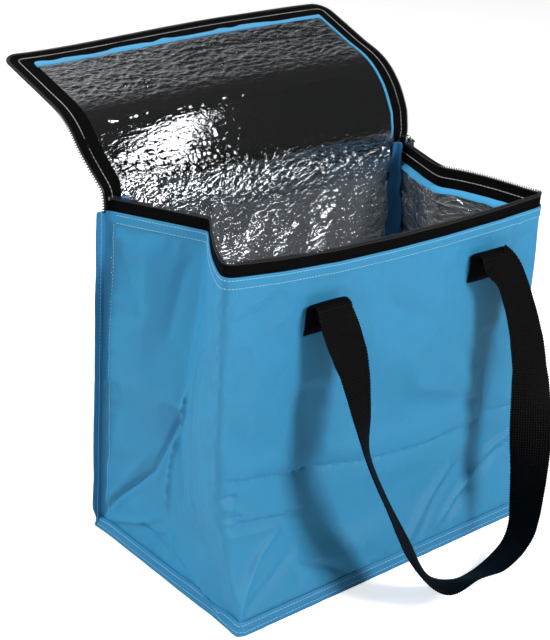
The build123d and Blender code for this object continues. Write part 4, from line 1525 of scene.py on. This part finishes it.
def webbing(points, across):
    """Outer and inner grids of webbing along points: cross ribs and slightly uneven edges."""
    lengths = path_lengths(points)
    at = np.linspace(0, lengths[-1], int(lengths[-1] / (RIB_PITCH / 4)))
    centre = read_at(at, lengths, points)
    kernel = np.hanning(13)
    kernel /= kernel.sum()

    def soften(rows):
        padded = np.pad(rows, ((6, 6), (0, 0)), "edge")
        return np.stack([np.convolve(padded[:, k], kernel, "valid") for k in range(3)], -1)

    ahead = unit(soften(np.gradient(centre, axis=0)))
    centre = soften(centre)
    wide = square_to(soften(read_at(at, lengths, across)), ahead)
    thick = np.cross(ahead, wide)
    share = np.concatenate([[-1, -0.985], np.linspace(-0.95, 0.95, 33), [0.985, 1]])
    rib = np.cos(2 * math.pi * at / RIB_PITCH)
    edge = 1 + 0.020 * rib + 0.022 * noise2(at / 11, 0 * at, 141)
    across_mm = share[None] * WEB_HALF * edge[:, None]
    column = np.cos(math.pi * np.arange(len(share)))[None]
    weave = 0.20 * rib[:, None] * (0.35 + 0.9 * column) + 0.05 * column
    rounded = np.sqrt(np.clip(1 - np.abs(share) ** 14, 0, 1))[None]
    half = (WEB_THICKNESS / 2 - 0.12) * (0.35 + 0.65 * rounded)
    middle = centre[:, None] + wide[:, None] * across_mm[..., None]
    cup = 0.5 * noise2(at / 60, 0 * at, 142)[:, None] * (1 - share[None] ** 2)
    middle = middle + thick[:, None] * cup[..., None]
    outer = middle + thick[:, None] * (half + weave * rounded)[..., None]
    inner = middle - thick[:, None] * (half - weave * rounded)[..., None]
    uv = np.stack(np.broadcast_arrays(across_mm, at[:, None]), -1)
    return outer, inner, uv


def make_handle(side, table):
    """One handle, from its sewn left end over the hanging loop to its sewn right end."""
    points, turns, fixed, way = handle_stations(side, table)
    bottom = points[np.argmin(points[:, 2])]
    top = np.array([(table[0][0] + table[-1][0]) / 2, points[fixed == 0][0][1], BEND_Z])
    hang = (bottom - top) / np.linalg.norm(bottom - top)
    square = np.array([0, way * -hang[2], way * hang[1]])
    square /= np.linalg.norm(square)
    flat = unit(np.cross(unit(np.gradient(points, axis=0)), square))
    outwards = ((points - (top + bottom) / 2) * flat).sum(1, keepdims=True) > 0
    flat = np.where(outwards, flat, -flat)
    across = square * np.cos(turns)[:, None] + flat * np.sin(turns)[:, None]
    across[fixed < 0] = (-1, 0, 0)
    across[fixed > 0] = (1, 0, 0)
    outer, inner, uv = webbing(points, across)
    piece = sheet(side + "_handle_webbing", outer, inner, WEBBING, uv)
    body = side + "_handle"
    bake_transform(piece)
    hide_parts(body, body + "_tab_left", body + "_tab_right")


OVAL_POINTS = 28


def rounded_prism(outline, low, high, place, axes):
    """A plate about place: an outline in the first two axes, from low to high along the third,
    with slightly bevelled edges."""
    outline = np.array(outline, float)
    centre = outline.mean(0)
    bevel = min(0.25, (high - low) / 3)
    rings = []
    for depth, shrink in ((low, bevel), (low + bevel, 0), (high - bevel, 0), (high, bevel)):
        span = outline - centre
        size = np.linalg.norm(span, axis=1, keepdims=True)
        ring = centre + span * (1 - shrink / np.maximum(size, 1e-6))
        rings.append(place + ring[:, :1] * axes[0] + ring[:, 1:] * axes[1] + depth * axes[2])
    hub = [np.tile(ring.mean(0), (len(outline), 1)) for ring in (rings[0], rings[-1])]
    grid = np.stack([hub[0]] + rings + [hub[1]])
    return grid.reshape(-1, 3), grid_quads(len(grid), len(outline), ring=True)


def oval(length, width, power):
    """An outline between an ellipse (power 2) and a rectangle (a high power)."""
    angles = np.arange(OVAL_POINTS) * 2 * math.pi / OVAL_POINTS
    c, s = np.cos(angles), np.sin(angles)
    return np.column_stack([np.sign(c) * np.abs(c) ** (2 / power) * length / 2,
                            np.sign(s) * np.abs(s) ** (2 / power) * width / 2])


def slider_axes():
    """The slider's directions along the rim and out of the wall, and the place of its bail."""
    run = np.array(joint_named("zip_slide")["axis"])
    outward = np.array([run[1], -run[0], 0.0])
    return run, outward, np.array(joint_named("zip_pull_swing")["pos_m"]) / MM


def make_slider():
    """A nickel slider: two rounded plates joined over the coil, a domed back and a wire bail."""
    low, high = node_box("zip_slider")
    run, outward, hook = slider_axes()
    centre = hook - outward * 4.4
    centre[2] = 0
    parts = Collector()
    bottom, top = low[2], high[2]
    middle_z = (bottom + top) / 2
    for near, far in ((0.25, 1.05), (-3.85, -3.05)):
        outline = oval(11.0, top - bottom, power=3.2)
        parts.add(*rounded_prism(outline, near, far, centre + UP * middle_z, (run, UP, outward)))
    dome = oval(8.4, 4.4, power=2.2)
    parts.add(*rounded_prism(dome, 0.9, 1.9, centre + UP * (middle_z + 1.4), (run, UP, outward)))
    bridge = oval(7.2, 5.1, power=4)
    parts.add(*rounded_prism(bridge, top - 2.2, top + 0.3, centre - outward * 1.4, (run, outward, UP)))
    bail = []
    for angle in np.linspace(0, math.pi, 15):
        bail.append(centre + run * 4.0 * math.cos(angle) + outward * (0.9 + 3.5 * math.sin(angle) ** 0.7)
                    + UP * hook[2])
    parts.add(*wire(np.array(bail), 0.5))
    put(parts.make("slider_body", NICKEL), "slider_metal", "zip_slider", body="zip_slider")


def wire(path, radius, sides=8):
    """A round wire along path with closed ends."""
    ahead = unit(np.gradient(path, axis=0))
    side = np.cross(ahead, UP)
    upright = np.linalg.norm(side, axis=1, keepdims=True) < 0.1
    side = unit(np.where(upright, np.array([1.0, 0.0, 0.0]), side))
    other = np.cross(side, ahead)
    angles = np.arange(sides) * 2 * math.pi / sides
    rings = [np.tile(path[0], (sides, 1))]
    cosine, sine = np.cos(angles)[:, None], np.sin(angles)[:, None]
    for centre, a, b in zip(path, side, other):
        rings.append(centre + radius * (cosine * a + sine * b))
    rings.append(np.tile(path[-1], (sides, 1)))
    grid = np.stack(rings)
    return grid.reshape(-1, 3), grid_quads(len(grid), sides, ring=True)


def make_pull():
    """A black tab with a rounded foot, hanging from the bail by its eye."""
    run, outward, hook = slider_axes()
    parts = Collector()
    eye = [hook + outward * 1.15 * math.cos(a) + UP * 1.15 * math.sin(a)
           for a in np.linspace(0, 2 * math.pi, 17)]
    for shift in np.linspace(-2.2, 2.2, 3):
        parts.add(*wire(np.array(eye) + run * shift, 0.55))
    length = hook[2] - node_box("zip_pull")[0][2] - 1.2
    foot = hook - UP * (1.2 + length / 2)
    parts.add(*rounded_prism(oval(7.0, length, power=5), -0.75, 0.75, foot, (run, UP, outward)))
    parts.add(*rounded_prism(oval(4.4, length * 0.62, power=4), -1.05, 1.05, foot - UP * 1.5,
                             (run, UP, outward)))
    put(parts.make("pull_tab", PAINT), "pull_metal", "zip_pull", body="zip_pull")


def make_stops():
    """The small clips that end the coil at both back corners."""
    axes = (np.array([0.0, 1.0, 0.0]), UP, np.array([1.0, 0.0, 0.0]))
    for node in ("zip_stop_left", "zip_stop_right"):
        low, high = node_box(node)
        size = high - low
        points, quads = rounded_prism(oval(size[1], size[2], power=4), -0.3, 0.3, (low + high) / 2, axes)
        put(make_mesh(node + "_clip", points, quads, NICKEL), "slider_metal", node)


# ---- stage: floor, light and camera ------------------------------------------------------------------
def area_light(name, direction, distance, size, power, aim=(0.0, 0.0, 0.18), mirrored=False, lighting=True):
    light = bpy.data.lights.new(name, "AREA")
    light.shape = "RECTANGLE"
    light.size, light.size_y = size
    light.energy = power
    lamp = bpy.data.objects.new(name, light)
    bpy.context.scene.collection.objects.link(lamp)
    lamp.visible_glossy = mirrored
    lamp.visible_diffuse = lighting
    lamp.visible_camera = False
    lamp.location = Vector(aim) + Vector(direction).normalized() * distance
    lamp.rotation_mode = "QUATERNION"
    lamp.rotation_quaternion = Vector(direction).to_track_quat("Z", "Y")
    return lamp


def make_world():
    """White to the camera, an even fill for cloth, and a dim room for the foil to mirror."""
    world = bpy.data.worlds.new("studio")
    bpy.context.scene.world = world
    world.use_nodes = True
    tree = world.node_tree
    tree.nodes.clear()

    def add(kind):
        return tree.nodes.new("ShaderNode" + kind)

    output, path = add("OutputWorld"), add("LightPath")
    place, facing, ramp = add("TexCoord"), add("VectorMath"), add("ValToRGB")
    lift = add("Math")
    room, fill, white = add("Background"), add("Background"), add("Background")
    glossy, seen = add("MixShader"), add("MixShader")
    facing.operation = "DOT_PRODUCT"
    facing.inputs[1].default_value = (0.617, -0.55, 0.56)
    lift.operation = "MULTIPLY_ADD"
    lift.inputs[1].default_value, lift.inputs[2].default_value = 0.5, 0.5
    greys = [(0.0, 0.8), (0.58, 0.55), (0.67, 0.20), (0.76, 0.05), (0.85, 0.012), (1.0, 0.004)]
    set_stops(ramp.color_ramp, [(at, (grey, grey, grey * 1.02)) for at, grey in greys])
    fill.inputs[0].default_value = (1, 1, 1, 1)
    fill.inputs[1].default_value = 0.22
    white.inputs[0].default_value = (1, 1, 1, 1)
    links = [
        (place.outputs["Generated"], facing.inputs[0]),
        (facing.outputs["Value"], lift.inputs[0]),
        (lift.outputs[0], ramp.inputs[0]),
        (ramp.outputs[0], room.inputs[0]),
        (path.outputs["Is Glossy Ray"], glossy.inputs[0]),
        (fill.outputs[0], glossy.inputs[1]),
        (room.outputs[0], glossy.inputs[2]),
        (path.outputs["Is Camera Ray"], seen.inputs[0]),
        (glossy.outputs[0], seen.inputs[1]),
        (white.outputs[0], seen.inputs[2]),
        (seen.outputs[0], output.inputs[0]),
    ]
    for source, socket in links:
        tree.links.new(source, socket)


def make_stage():
    floor = make_mesh("studio_floor", np.array([(-6, -6, 0), (6, -6, 0), (6, 6, 0), (-6, 6, 0)]) / MM,
                      [[0, 1, 2, 3]], floor_paint())
    make_world()
    area_light("key_softbox", (0.24, -1.0, 0.72), 1.7, (0.42, 0.42), 26, mirrored=True)
    area_light("foil_softbox", (0.555, -0.44, 0.706), 0.55, (0.055, 0.030), 0.09, (-0.108, 0.107, 0.320),
               mirrored=True, lighting=False)
    area_light("left_fill", (-0.62, 0.36, 0.66), 1.9, (0.5, 0.5), 31)
    area_light("back_fill", (0.2, 1.0, 0.9), 2.0, (1.2, 1.0), 8)


def make_camera():
    """The camera stands to the bag's front left, looking down, and is rolled slightly."""
    azimuth, elevation, roll = math.radians(-42.17), math.radians(23.27), math.radians(3.76)
    back = Vector((math.sin(azimuth) * math.cos(elevation), -math.cos(azimuth) * math.cos(elevation),
                   math.sin(elevation)))
    right = (-back).cross(Vector((0, 0, 1))).normalized()
    up = right.cross(-back)
    x_axis = math.cos(roll) * right + math.sin(roll) * up
    y_axis = -math.sin(roll) * right + math.cos(roll) * up
    data = bpy.data.cameras.new("camera")
    data.lens, data.sensor_width = 80.74, 36.0
    data.clip_start, data.clip_end = 0.05, 50
    camera = bpy.data.objects.new("camera", data)
    bpy.context.scene.collection.objects.link(camera)
    camera.matrix_world = Matrix.Translation((-0.7820, -0.7907, 0.6650)) @ Matrix(
        (x_axis, y_axis, back)).transposed().to_4x4()
    bpy.context.scene.camera = camera
    bpy.context.scene.view_settings.view_transform = "Standard"


make_walls()
make_lining()
make_base()
make_base_seam()
make_side_seams()
make_rim_stitches()
make_corner_bindings()
make_rim_coil(*make_rim_tape())
make_rim_hem()
make_lid_panels()
make_lid_lining()
make_lid_zip()
make_handle("front", FRONT_LOOP)
make_handle("back", BACK_LOOP)
make_slider()
make_pull()
make_stops()
make_stage()
make_camera()
